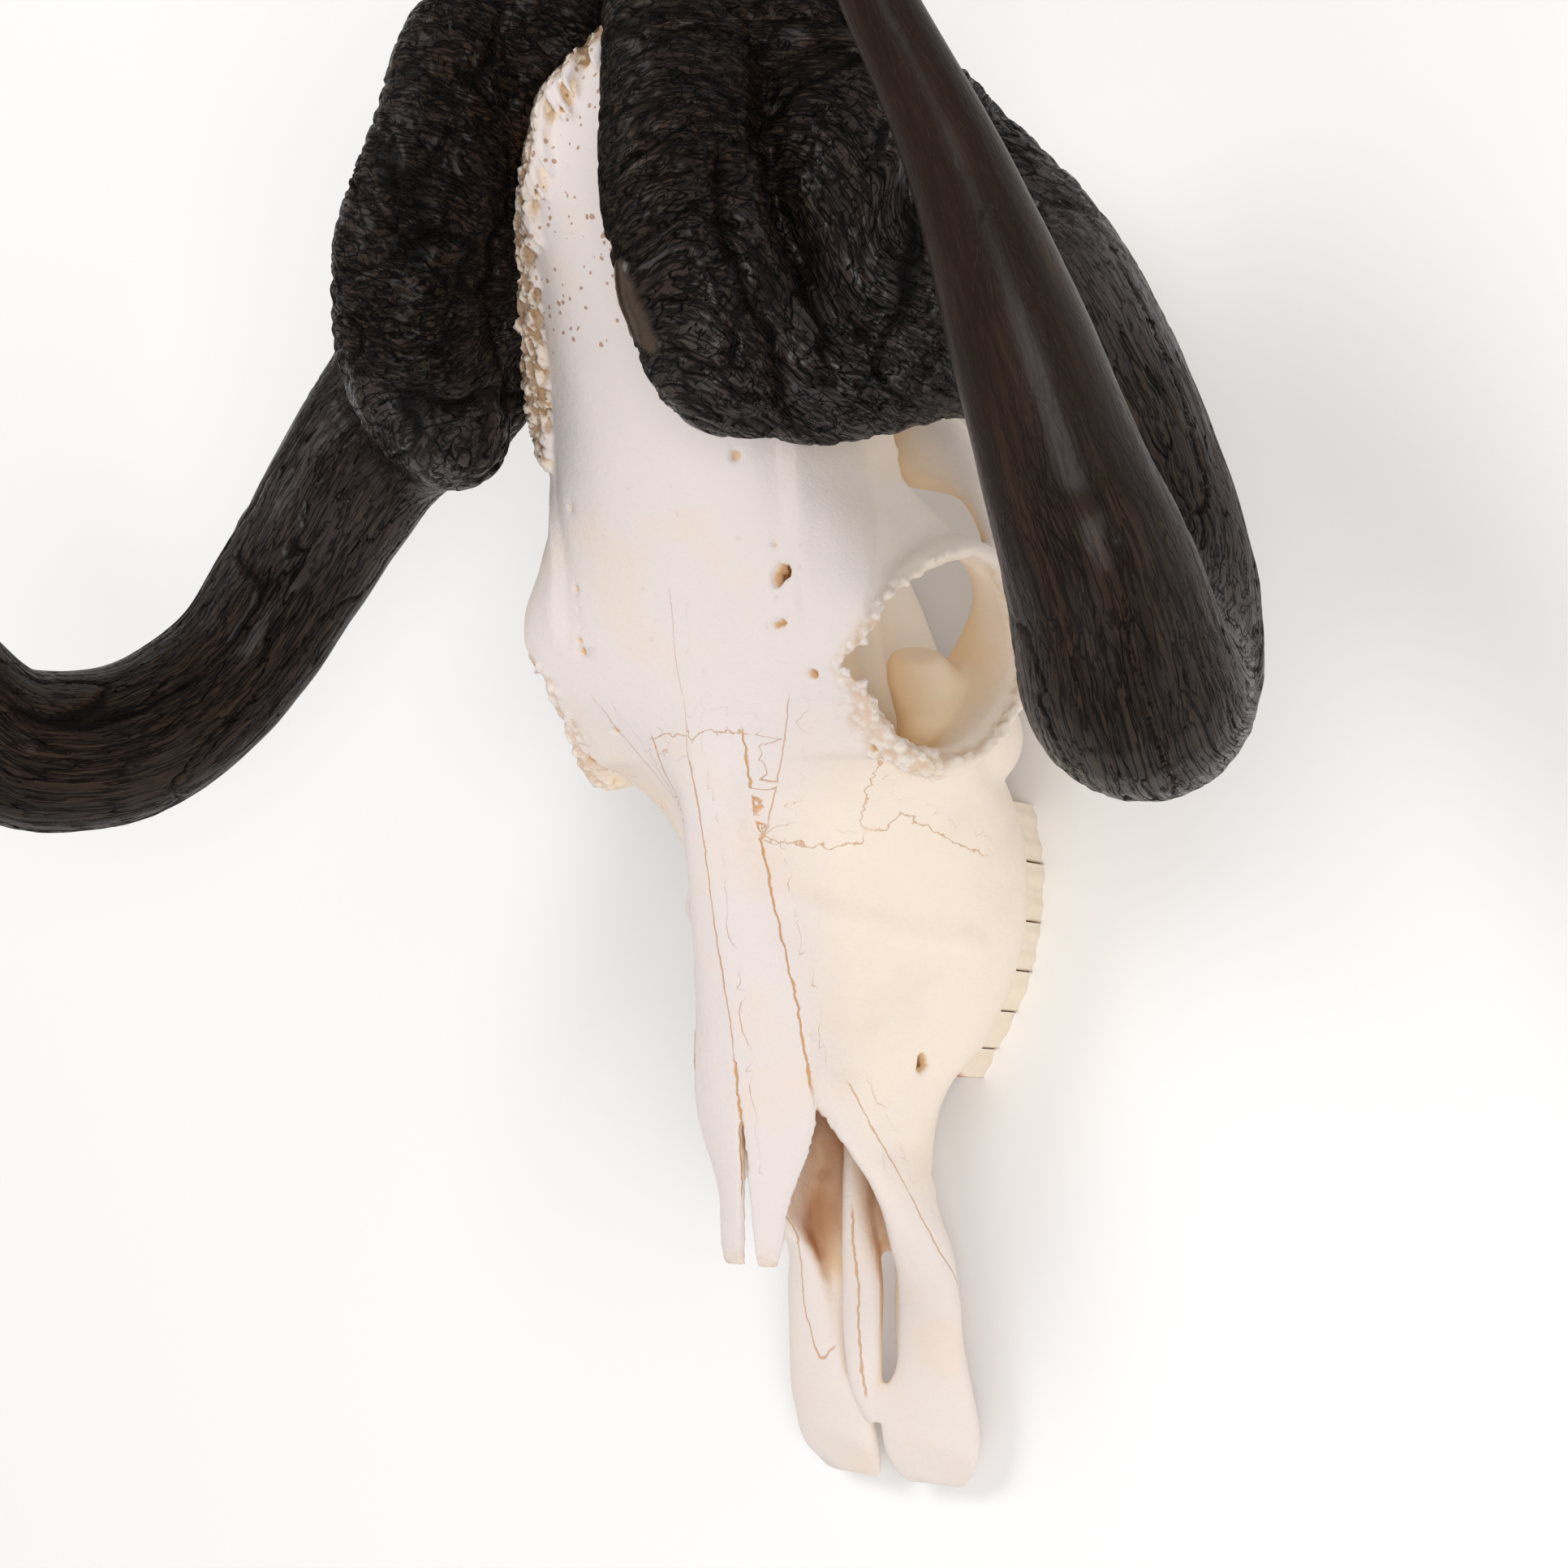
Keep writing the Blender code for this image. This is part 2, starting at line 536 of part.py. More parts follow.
def crown_outline(length, front, rear, width, grow):
    """Half of a molar crown seen from below: two bulging lobes outside, two inside."""
    outline = []
    lobes = 1 if length < 15 else 2
    steps = 4 * lobes
    for k in range(steps + 1):
        share = k / steps
        bulge = 1.3 * math.sin(math.pi * lobes * share) ** 2
        outline.append((front + (rear - front) * share + bulge, share * length))
    for k in range(steps, -1, -1):
        share = k / steps
        bulge = 1.8 * math.sin(math.pi * lobes * share) ** 2
        outline.append((front + (rear - front) * share - width + 1.8 - bulge, share * length))
    middle_x = sum(x for x, _ in outline) / len(outline)
    middle_y = length / 2
    grown = []
    for x, y in outline:
        across = grow if x > middle_x else -grow
        along = grow if y > middle_y else -grow
        if abs(y - middle_y) < 0.5:
            along = 0
        grown.append((x + across, y + along))
    return grown


def build_teeth(collection, cutters, bone, enamel):
    """The left row, each tooth in its own socket, and then the right row as copies."""
    made = []
    for name, start, length, front, rear, width in TEETH:
        bm = bmesh.new()
        rings = []
        for up, lean, inset in CROWN_LEAN:
            outline = crown_outline(length - JOINT_GAP, front, rear, width, -inset * 0.5)
            rings.append([(x + lean, start + y, up) for x, y in outline])
        add_loft(bm, rings)
        tooth = object_of(bm, name + "_left", collection)
        tooth.data.materials.append(enamel)
        made.append(tooth)
        bm = bmesh.new()
        rings = []
        for up, lean in SOCKET_LEAN:
            outline = crown_outline(length, front, rear, width, 0.9)
            rings.append([(x + lean, start + y, up) for x, y in outline])
        add_loft(bm, rings)
        cut(bone, object_of(bm, name + "_socket_cutter", cutters))
    for tooth in made:
        mirrored_copy(tooth, tooth.name.replace("_left", "_right"))


def stand_on_floor(bone, cutters):
    """Wears the tips of the paroccipital processes flat where the skull stands on them."""
    bm = bmesh.new()
    add_block(bm, (-300, -100, -60), (300, 600, 0))
    floor = object_of(bm, "floor_cutter", cutters)
    cut(bone, floor)


def make_even(made):
    """Cuts the object along its midline and makes its right side from its left."""
    bm = bmesh.new()
    bm.from_mesh(made.data)
    for vert in bm.verts:
        if abs(vert.co.x) < MIDLINE_SNAP * MM:
            vert.co.x = 0
    everything = [*bm.verts, *bm.edges, *bm.faces]
    bmesh.ops.bisect_plane(
        bm, geom=everything, dist=1e-6, plane_co=(0, 0, 0), plane_no=(1, 0, 0), clear_inner=True)
    flat = [face for face in bm.faces if all(abs(vert.co.x) < 1e-6 for vert in face.verts)]
    bmesh.ops.delete(bm, geom=flat, context="FACES")
    bmesh.ops.mirror(bm, geom=[*bm.verts, *bm.edges, *bm.faces], axis="X", merge_dist=1e-5)
    bmesh.ops.recalc_face_normals(bm, faces=bm.faces)
    bm.to_mesh(made.data)
    bm.free()


def build_sheath(collection, side, swollen, horn):
    """One sheath, made on the left side of the skull."""
    bm = bmesh.new()
    add_tube(bm, HORN, sides=24)
    add_tube(bm, BOSS_LOBE, sides=20, upright=(1, 0, 0))
    add_tube(bm, BOSS_FOOT, sides=16)
    add_tube(bm, BOSS_SADDLE, sides=16, upright=(0.6, 0, 0.8))
    add_tube(bm, BOSS_SHOULDER, sides=20, upright=(0.6, 0, 0.8))
    add_ball(bm, *BOSS_REAR)
    add_ball(bm, *BOSS_PADS[side])
    sheath = object_of(bm, "horn_sheath_" + side, collection)
    fuse(sheath, SHEATH_VOXEL, 3)
    thin_out(sheath, SHEATH_FACES)
    cut(sheath, swollen)
    keep_largest(sheath)
    sheath.data.materials.clear()
    sheath.data.materials.append(horn)
    return sheath


def build_sheaths(collection, cutters, bone, horn):
    swollen = bpy.data.objects.new("bone_with_gap_cutter", bone.data.copy())
    cutters.objects.link(swollen)
    grow = swollen.modifiers.new("gap", "DISPLACE")
    grow.strength = SHEATH_GAP * MM
    grow.mid_level = 0
    settle(swollen)
    build_sheath(collection, "left", swollen, horn)
    flip(build_sheath(collection, "right", swollen, horn).data)


def main():
    for old in list(bpy.data.objects):
        bpy.data.objects.remove(old)
    collection = bpy.data.collections.new("black wildebeest skull")
    cutters = bpy.data.collections.new("cutters")
    for group in (collection, cutters):
        bpy.context.scene.collection.children.link(group)
    enamel = material("tooth enamel", ENAMEL_COLOUR, 0.35)
    horn = material("horn", HORN_COLOUR, 0.5)
    bone = build_bone(collection, cutters)
    build_teeth(collection, cutters, bone, enamel)
    stand_on_floor(bone, cutters)
    make_even(bone)
    keep_largest(bone)
    bone.data.materials.clear()
    bone.data.materials.append(material("bone", BONE_COLOUR, 0.6))
    build_sheaths(collection, cutters, bone, horn)
    for made in collection.objects:
        made.data.shade_smooth()
        made.data.set_sharp_from_angle(angle=math.radians(40))


main()
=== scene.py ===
"""Black wildebeest skull: weathered bone, two fibrous horn sheaths and the cheek teeth, on a pale floor.

Places are given in millimetres as (x, back, up): x from the midline to the animal's left, back from the tips
of the premaxillae towards the occiput, up from the wearing plane of the cheek teeth. place() turns them into
the frame. Only the left half is written down where both sides are alike. A station of a tube adds its half
width and half height, and leaves x out where the tube runs along the midline.
"""

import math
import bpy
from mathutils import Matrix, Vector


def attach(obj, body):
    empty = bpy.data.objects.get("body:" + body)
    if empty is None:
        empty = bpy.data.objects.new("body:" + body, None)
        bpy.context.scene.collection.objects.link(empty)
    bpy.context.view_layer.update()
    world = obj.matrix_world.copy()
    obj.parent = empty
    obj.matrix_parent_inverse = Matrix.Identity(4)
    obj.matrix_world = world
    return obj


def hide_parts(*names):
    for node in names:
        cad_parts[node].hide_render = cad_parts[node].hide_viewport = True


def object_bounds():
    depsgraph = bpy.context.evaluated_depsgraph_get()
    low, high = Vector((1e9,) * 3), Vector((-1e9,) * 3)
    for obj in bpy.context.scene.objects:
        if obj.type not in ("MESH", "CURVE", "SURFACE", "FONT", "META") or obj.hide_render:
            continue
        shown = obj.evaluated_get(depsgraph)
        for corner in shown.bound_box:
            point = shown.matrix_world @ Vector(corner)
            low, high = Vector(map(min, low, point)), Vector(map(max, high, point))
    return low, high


bl_info = {
    "name": "Black Wildebeest Skull",
    "version": (1, 0, 0),
    "blender": (4, 5, 0),
    "location": "3D View > Sidebar > Skull",
    "description": "Builds the bone, horn sheaths and teeth of a black wildebeest skull",
    "category": "Object",
}

from functools import partial

import bmesh
import bpy
import numpy as np
from mathutils import Matrix, Vector
from mathutils.bvhtree import BVHTree

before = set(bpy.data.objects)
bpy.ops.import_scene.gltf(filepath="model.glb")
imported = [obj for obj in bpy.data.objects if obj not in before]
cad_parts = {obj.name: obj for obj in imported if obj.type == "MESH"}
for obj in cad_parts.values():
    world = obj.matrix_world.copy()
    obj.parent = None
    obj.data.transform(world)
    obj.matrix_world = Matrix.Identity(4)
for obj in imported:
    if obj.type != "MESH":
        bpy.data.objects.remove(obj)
SOLID_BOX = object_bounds()

MM = 0.001
ORIGIN_BACK = 245.0

# Half outlines of the muzzle, from the midline of its roof to the midline of the palate.
MUZZLE = (
    (116, ((0, 76), (12, 78), (24, 80), (28.5, 72), (31, 60), (32, 48), (30, 37), (23.5, 26), (13, 24),
           (0, 25))),
    (134, ((0, 101), (14, 99.5), (25, 94), (30, 82), (34, 67), (37, 52), (36.5, 37), (27, 25), (15, 23),
           (0, 25))),
    (152, ((0, 107), (13, 104.5), (24, 97), (32, 82), (38, 66), (43, 50), (46, 34), (40, 19), (22, 21),
           (0, 26))),
    (178, ((0, 114.5), (12, 111.5), (21, 104), (32, 87), (42, 69), (51, 51), (54, 35), (50.5, 17), (30, 20),
           (0, 26))),
    (206, ((0, 123), (10, 120.5), (17, 114), (30, 98), (45, 78), (57, 58), (59.5, 40), (54, 18), (34, 20),
           (0, 27))),
    (226, ((0, 129), (9, 127), (16, 121), (33, 106), (51, 89), (61, 68), (62, 48), (51, 20), (32, 21),
           (0, 28))),
    (243, ((0, 134), (14, 131), (32, 124), (51, 118), (64, 111), (71, 88), (64, 58), (46, 26), (26, 24),
           (0, 32))),
)
# The same for the braincase.
BRAINCASE = (
    (236, ((0, 131), (22, 125), (33, 108), (33, 88), (30, 66), (26, 42), (12, 31), (0, 32))),
    (262, ((0, 138), (24, 135), (33, 118), (31, 96), (26, 74), (20, 50), (10, 40), (0, 44))),
    (290, ((0, 146), (26, 142), (32, 122), (29, 100), (24, 80), (17, 62), (8, 54), (0, 54))),
    (318, ((0, 157), (30, 151), (34, 128), (33, 104), (28, 84), (18, 66), (9, 58), (0, 57))),
    (345, ((0, 168), (40, 160), (46, 136), (46, 112), (42, 92), (27, 72), (12, 60), (0, 58))),
    (380, ((0, 182), (46, 172), (52, 146), (52, 120), (47, 96), (30, 74), (13, 60), (0, 57))),
    (412, ((0, 193), (46, 184), (53, 154), (54, 124), (50, 98), (34, 76), (15, 60), (0, 56))),
    (440, ((0, 196), (42, 186), (50, 156), (53, 126), (49, 100), (34, 80), (16, 66), (0, 62))),
    (456, ((0, 188), (34, 178), (42, 154), (44, 128), (38, 106), (26, 92), (12, 86), (0, 84))),
)
# The frontal plate: upper surface, then its thickness at the midline and at its edge.
FRONTAL = (
    (238, ((0, 132.5), (16, 127), (34, 121), (51, 117), (62, 112)), 16, 7),
    (250, ((0, 136), (20, 133.5), (38, 130), (53, 127), (63, 124)), 16, 7),
    (264, ((0, 140), (22, 139.5), (42, 138.5), (57, 137.5), (67, 136.5)), 18, 7),
    (284, ((0, 146), (22, 146), (43, 145), (60, 143.5), (74, 139)), 18, 8),
    (304, ((0, 153.5), (22, 153), (43, 150), (60, 144), (72.5, 133)), 20, 13),
    (324, ((0, 162.5), (22, 162), (42, 156.5), (56, 145.5), (66, 130)), 22, 22),
    (346, ((0, 172.5), (24, 170), (43, 161), (55, 148.5), (62, 134)), 24, 26),
    (378, ((0, 186), (24, 183), (43, 172), (54, 158), (60, 144)), 26, 28),
    (412, ((0, 199.5), (21, 197), (38, 186), (51, 169), (57, 152)), 28, 30),
    (440, ((0, 203), (16, 201.5), (32, 194), (46, 178), (53, 158)), 30, 30),
    (464, ((0, 192), (14, 190), (29, 182), (41, 168), (48, 150)), 30, 28),
)
# The rim of the orbit: place, half thickness, and how deep the wall behind it goes.
ORBIT_RIM = (
    (63, 259, 126.8, 4.0, 14), (68.5, 272, 134, 3.7, 14), (75.5, 286, 129.8, 3.5, 12),
    (81, 299, 116.3, 3.6, 12), (84, 305, 100, 4.0, 16), (85.5, 301, 84, 3.8, 21), (86, 290, 73, 3.8, 28),
    (84.5, 277, 67, 3.8, 37), (82, 263, 67, 4.2, 46), (78, 250, 73, 4.4, 36), (74.5, 240.5, 83, 4.6, 22),
    (70.5, 236.5, 96, 4.6, 14), (66.5, 240, 109, 4.6, 14), (63, 249, 119, 4.6, 14),
)
ORBIT_CENTRE = (77.5, 270.5, 104)
# The edge of the orbit's opening, once round from its upper rear corner over the brow.
ORBIT_EDGE = (
    (81.2, 301.5, 98), (84.3, 299, 112), (83.8, 296, 119.5), (81.5, 291.8, 126.3), (78.5, 286, 131),
    (76.2, 281, 133.5), (73.4, 275.5, 136), (70, 270.5, 137.5), (66, 266.5, 137.5), (62.5, 262.8, 136),
    (63.5, 259.8, 132.8), (65.4, 257, 128.8), (66.1, 254, 123.6), (66.6, 250.6, 119.5), (67, 247, 113.8),
    (68, 243.8, 108.5), (69.5, 241.6, 102), (71.8, 240.8, 96), (74, 241.8, 89), (76.2, 243.6, 84),
    (78.2, 246.8, 79), (80.2, 250.9, 74.9), (81.6, 256.3, 71.6), (82.6, 262.6, 69.6), (83.4, 269.2, 69),
    (83.8, 276.9, 70.3), (84.5, 284.2, 74.2), (84.3, 290.5, 78.5), (83.2, 296, 83), (81.8, 300, 88),
)
# The ragged ridge of spongy bone along the seat of the right horn.
SPONGY_RIDGE = (
    (8, 464, 192, 3, 3), (-1, 456, 196, 4, 3.4), (-9, 446, 198, 4.6, 3.8), (-15.5, 434, 198.4, 5, 4),
    (-21.5, 421, 196.8, 5, 4), (-28, 408, 192, 5, 4), (-34.5, 396, 184.8, 5, 4.2),
    (-38.5, 381, 178.5, 5, 4.4), (-43.5, 366, 170.5, 5, 4.2), (-49, 352, 162, 4.6, 4),
    (-54.5, 340, 150, 4.2, 4),
)
# The arch of the cheek, from the orbit back to the braincase.
ARCH = (
    (84, 280, 70, 3.8, 6), (83.5, 298, 76, 3.8, 6.5), (80.5, 314, 82, 4, 7), (76.5, 327, 86.5, 6, 8),
    (66, 337.5, 89, 12, 11), (54, 345, 91, 15, 14), (38, 362, 98, 15, 13),
)
# The bar behind the orbit: its near and its far edge.
POSTORBITAL = (
    ((72, 276, 139), (60, 341, 132)), ((76, 286, 131), (63, 337, 121)), ((80, 297, 115), (68.5, 325, 110)),
    ((83, 303, 101), (75, 315, 99)), ((85.5, 301, 87), (82.5, 306, 90)), ((86.5, 291, 75), (85.5, 298, 80)),
)
POSTORBITAL_THICK = 6.0
# Each premaxilla: centre, half height along its leaning section, half thickness, and the lean in degrees.
PREMAXILLA = (
    (17, -1.8, 8, 12.5, 3.2, 86), (19.4, 7.5, 13.6, 18.4, 5.0, 84), (20.8, 20, 17.5, 19.6, 5.4, 82),
    (21.6, 29, 20.5, 18.8, 5.4, 82), (24.3, 37, 22, 14.8, 5.4, 82), (25.2, 48, 24.4, 12.6, 5.4, 82),
    (26, 64, 27.8, 11.5, 5.4, 71), (26, 75, 31, 11, 5.3, 47), (26.3, 88, 38, 13, 5.0, 11),
    (25.7, 101, 45, 18.5, 4.6, -4), (25.5, 117, 54.5, 26, 4.3, -2), (29.5, 136, 60, 32, 4.8, 4),
)
PREMAXILLA_SHELF = (
    (17, 34, 18.5, 7, 3.0), (15.5, 45, 21.5, 7, 3.2), (15, 60, 23.5, 6.5, 3.4), (16.5, 74, 25.5, 7, 3.6),
    (18, 88, 28, 9, 4), (18, 102, 29, 10, 4),
)
# The free ends of the nasal bones: back, inner and outer edge, height of ridge and of outer edge.
NASALS = (
    (73.5, 2.4, 9.0, 89.6, 88.6), (77, 2.3, 10.2, 91, 89.4), (85, 1.9, 12, 93, 90.4),
    (97, 1.4, 14.5, 96, 91.5), (112, 1.0, 21, 99.2, 93), (126, 0.6, 25, 101.8, 94.5),
    (150, -1, 25, 106, 97),
)
NASAL_THICK = 3.4
# The nasal tips lean towards the animal's right, and the right one is broader.
NASAL_LEAN = {1: -2.0, -1: -3.6}
NASAL_BROAD = {1: 1.0, -1: 1.22}
SEPTUM = (
    (20, 21, 3.0, 3.4), (32, 27, 6.5, 4.2), (50, 30, 8.0, 4.4), (66, 31, 8.2, 4.8), (80, 33, 7, 6.5),
    (92, 34, 5.5, 7.5), (120, 35, 5.5, 8), (150, 36, 5.5, 9),
)
PALATE = ((77, 27.5, 7, 2.5), (83, 27.5, 17, 3.6), (93, 28, 22, 4.2), (106, 28.5, 26, 4.6), (122, 29, 27, 5))
NASAL_CAVITY = (
    (64, ((0, 87), (10, 84), (16, 74), (17, 60), (15, 48), (11, 40), (0, 38))),
    (104, ((0, 94), (14, 91), (21, 83), (23, 66), (22, 50), (18, 35), (0, 34))),
    (134, ((0, 96), (14, 94), (24, 87), (29, 68), (30, 50), (24, 33), (0, 35))),
    (170, ((0, 107), (11, 104), (20, 96), (30, 78), (37, 56), (32, 34), (0, 35))),
    (214, ((0, 112), (8, 110), (14, 103), (22, 90), (26, 68), (20, 48), (0, 46))),
)
# Centre line of each horn, with its half width along the skull or across, and its half height.
HORN = (
    (50, 424, 182, 38, 22), (70, 412, 172, 50, 29), (95, 389, 160, 51, 30), (126, 370, 144, 40, 26),
    (150, 349, 144, 30, 27), (179, 305, 151, 26, 26), (197, 271, 163, 25.5, 25.5), (212, 244, 193, 28, 28),
    (229, 239.5, 231, 27.5, 28), (237, 264, 260, 23.5, 23.5), (234, 283, 270, 20.5, 20.5),
    (229, 317, 286, 17, 17), (222, 354, 303, 12.2, 12.2), (212, 388, 321, 9, 9), (202, 424, 342, 6.4, 6.4),
    (193, 452, 363, 3.8, 3.8), (188, 466, 375, 1.4, 1.4),
)
HORN_CORE = (
    (38, 405, 168, 38, 20), (66, 402, 164, 42, 22), (95, 389, 157, 35, 20), (126, 370, 143, 21, 16),
    (150, 349, 144, 17, 17), (179, 305, 151, 14, 14), (197, 272, 162, 9, 9), (205, 256, 175, 4, 4),
)
# The boss of each horn: a lobe over the forehead, and what lies under, beside and behind it.
BOSS_LOBE = (
    (45, 486, 189, 7, 8), (44, 478, 195, 17, 17), (45, 460, 203, 24, 24), (49.5, 432, 207.5, 25, 25),
    (58, 392, 214, 25, 25), (64, 365, 205, 25, 25), (70, 352, 190, 24, 24), (78, 346, 175, 20, 22),
    (92, 347, 163, 18, 19), (110, 352, 152, 17, 18),
)
BOSS_REAR = ((60, 450, 178), (33, 28, 29))
BOSS_PADS = {"left": ((36, 464, 196), (18, 24, 20)), "right": ((24, 466, 190), (30, 24, 24))}
BOSS_FOOT = (
    (30, 470, 190, 7, 6), (32, 452, 197, 16, 12), (42, 425, 200, 15, 14), (52, 394, 190, 15, 16),
    (70, 368, 176, 13, 14), (84, 353, 163, 11, 12),
)
BOSS_SADDLE = (
    (54, 480, 172, 6, 6), (60, 464, 180, 18, 15), (72, 430, 184, 20, 14), (76, 395, 182, 22, 14),
    (80, 368, 174, 20, 14), (86, 354, 164, 14, 12),
)
BOSS_SHOULDER = (
    (70, 474, 152, 7, 7), (78, 454, 160, 20, 20), (85, 425, 168, 24, 24), (91, 395, 174, 25, 25),
    (98, 370, 165, 24, 24), (108, 352, 154, 20, 20),
)
BOSS_UPRIGHT = (0.6, 0, 0.8)
# The sheath's inside stands off the bone by this much.
CORE_GAP = 0.6
# Where the left boss is worn to smooth olive brown horn: place and reach.
AMBER_SPOTS = (((50, 367, 230), 6.5), ((51, 361, 230), 9), ((53, 354, 228), 9), ((57, 349, 224), 5.5))
# Where the left boss's lobe stands out further: place, how far and over what reach.
LOBE_CORNERS = (((54, 357, 224), 3.0, 22), ((56, 337, 203), 7.0, 30))
# The deep valley between that lobe and the rest of the boss.
LOBE_VALLEY = (
    (80, 402, 221), (82, 389, 223), (83, 379, 222), (85, 371, 218), (86, 363, 215), (88, 355, 211),
    (89, 349, 205), (86.5, 338, 200), (80, 330, 192),
)
# The horn's growth follows this line before it reaches the centre line above.
GROWTH_START = ((-30, 452, 214), (10, 440, 204))
LOBE_START = 66.0
# Cheek teeth: name, place of the front end, length, x of the outer wall in front and behind, and width.
TEETH = (
    ("premolar_2", 138.5, 10.5, 25, 30, 11), ("premolar_3", 149, 13, 31, 38, 14),
    ("premolar_4", 162, 14, 38.5, 44, 17), ("molar_1", 176, 17, 44, 47, 19),
    ("molar_2", 193, 20.5, 47, 47.5, 20), ("molar_3", 213.5, 21, 47, 42, 18),
)
JOINT_GAP = 0.08
CROWN_TOP = 21.0
CROWN_LEAN = 3.0
CROWN_STEPS = 7
CROWN_POINTS = 64
# A tooth longer than this has two lobes.
TWO_LOBES_FROM = 15

# The skull's base, the cheek and the floor of the orbit: balls with their radii, and tubes.
CONDYLE = ((17, 452, 74), (12, 13, 17))
PAROCCIPITAL = (
    (40, 430, 96, 12, 17), (40, 425, 66, 7, 13), (39, 419, 36, 4.5, 9), (37.5, 414, 12, 3.8, 6),
    (37, 412, -4, 3.6, 5),
)
EAR_CAPSULES = (((29, 396, 56), (11, 16, 14)), ((52, 400, 100), (12, 20, 22)))
PTERYGOID = (
    (22, 236, 34, 4, 9), (19, 256, 32, 3, 12), (17, 276, 33, 2.6, 14), (16, 292, 44, 3, 14),
    (15, 312, 58, 6, 10),
)
CHEEK_SWELLING = ((50, 252, 55), (19, 20, 25))
ORBIT_LOBE = (
    (46.5, 256, 58, 15, 16), (47, 264, 68, 14, 12), (47.5, 271, 75, 12.5, 8), (49, 276, 79.5, 9, 5.5),
)
FORAMEN_MAGNUM = ((0, 480, 80, 13, 12), (0, 455, 80, 12, 11), (0, 425, 86, 9, 9))
# Sections of the orbit's inside: whether their edge is toothed, their size, and their shift from the centre.
ORBIT_SECTIONS = (
    (False, 1.05, (15, -2, 9)), (True, 1.0, (1.2, 0, 0.8)), (True, 0.985, (-2.5, 0.5, -1.2)),
    (False, 0.93, (-6, 1, -2)), (False, 0.83, (-15, 4, -1)), (False, 0.6, (-30, 14, 0)),
    (False, 0.28, (-42, 22, -2)),
)
# Relief of the bone: the rough corner in front of the orbit, the groove over it and the crest of the cheek.
ROUGH_CORNER = ((63, 252, 122), (65, 243, 112), (69, 238, 102))
BROW_GROOVE = ((49.5, 335, 153.5), (49.5, 329, 152.5), (50, 314, 150), (49.5, 299, 147), (51, 284, 144))
CHEEK_CREST = ((25, 189, 101), (34, 185, 86), (43, 182, 70), (52, 181, 52))
# Height of the skull's roof along the midline, as (back, up).
ROOF = (
    (75, 90.5), (108, 98.6), (143, 104), (174, 114), (208, 123.5), (244, 134), (282, 145), (331, 165),
    (409, 199), (464, 193),
)

# Sutures along the skull and across it: side (0 for both), width, strength, and points.
SUTURES_ALONG = (
    (1, 0.35, 0.4, ((0.5, 290, 148), (-1.5, 268, 141), (-0.5, 253, 136.5), (-2.6, 240, 132.5))),
    (1, 0.6, 0.9, ((-2.6, 240, 132.5), (-0.9, 225, 128.5), (-1, 208.6, 123.5), (-1.5, 187, 116.8),
                   (-1, 166, 110.8), (-0.3, 142, 104.7))),
    (1, 1.2, 1.0, ((-0.3, 142, 104.7), (0, 128, 102), (0, 112, 99), (0, 98, 96))),
    (0, 0.85, 1.0, ((19.1, 245, 130.5), (17.1, 228.6, 123), (16.3, 211, 115.6), (18, 190.3, 109.3),
                    (20.2, 172.2, 103.7), (21.9, 156.6, 99.3), (23.3, 143.6, 96.8), (24.3, 132, 94.5))),
    (0, 0.6, 0.75, ((30.4, 134, 82), (30.3, 119.5, 67.8), (30, 110.5, 58), (30.2, 99.2, 47),
                    (31.6, 83, 34.1), (36, 69.6, 24.9))),
    (-1, 0.6, 0.8, ((-19, 92, 52), (-20.3, 80, 42), (-24.9, 60.8, 32.7), (-20.1, 39.7, 27.8),
                    (-14.8, 42.7, 27.4))),
    (1, 1.0, 0.8, ((1.7, 92, 41), (1.7, 77.1, 38.5), (1.6, 47.8, 33.8), (2.3, 29.5, 29.9))),
    (0, 0.5, 0.7, ((39.6, 256, 132.5), (34, 246, 127), (26.6, 234, 120.6), (21, 222, 117),
                   (17, 212, 115.4))),
)
SUTURES_ACROSS = (
    (0, 0.5, 0.75, ((17, 213, 114.5), (27.3, 211.2, 103.3), (38, 212.6, 91.5), (43.5, 216.8, 88),
                    (49.8, 222.2, 85.7), (53.7, 219, 75.2), (57.1, 214.7, 63.8), (58, 213, 52))),
    (0, 0.5, 0.75, ((0, 244.5, 134), (6, 245, 133.5), (12.3, 246, 132.9), (19.1, 245, 130.7))),
    (0, 0.5, 0.75, ((60, 238, 110), (52, 233, 104), (45.5, 227.7, 97.7), (40, 219, 94))),
)
# Holes and pits of the bone: place, radius and depth. The first group is on both sides.
HOLES_BOTH = (
    (38.7, 141.2, 53.4, 2.4, 3.2), (39.2, 143.6, 54.2, 2.3, 2.6), (60.5, 243, 112, 1.6, 3),
)
HOLES_LEFT = (
    (45.6, 293.4, 146.5, 2.3, 6), (43.4, 290.6, 146.8, 2.2, 6), (43.9, 277.8, 143.5, 1.4, 2.4),
    (42.2, 277.0, 143.5, 1.2, 2.4), (42.6, 285, 145.5, 1.0, 1.0), (43, 302, 149, 1.2, 1.2),
    (35, 329, 160.2, 2.2, 1.4), (51, 262, 136, 2.0, 2.6), (20, 216, 118, 1.1, 1.2),
)
HOLES_RIGHT = (
    (-68.2, 270.2, 138.1, 1.7, 2.4), (-65.9, 266.6, 137.1, 1.6, 2.4), (-37.9, 248.5, 128.8, 1.5, 2.4),
    (-41.3, 293.5, 147.2, 1.5, 1.4), (-42.6, 277, 143.2, 1.3, 1.6), (-42.9, 273, 142, 1.4, 2.0),
    (-41.4, 287, 145.6, 1.2, 0.8), (-41.8, 282, 144.4, 1.2, 0.8), (-37.0, 319, 156, 1.7, 1.0),
)
HOLE_REACH = 8

# How enclosed a place is: rays from it, their turn from one to the next, and their length in metres.
RECESS_RAYS = 9
GOLDEN_TURN = 2.39996
RECESS_REACH = 0.07

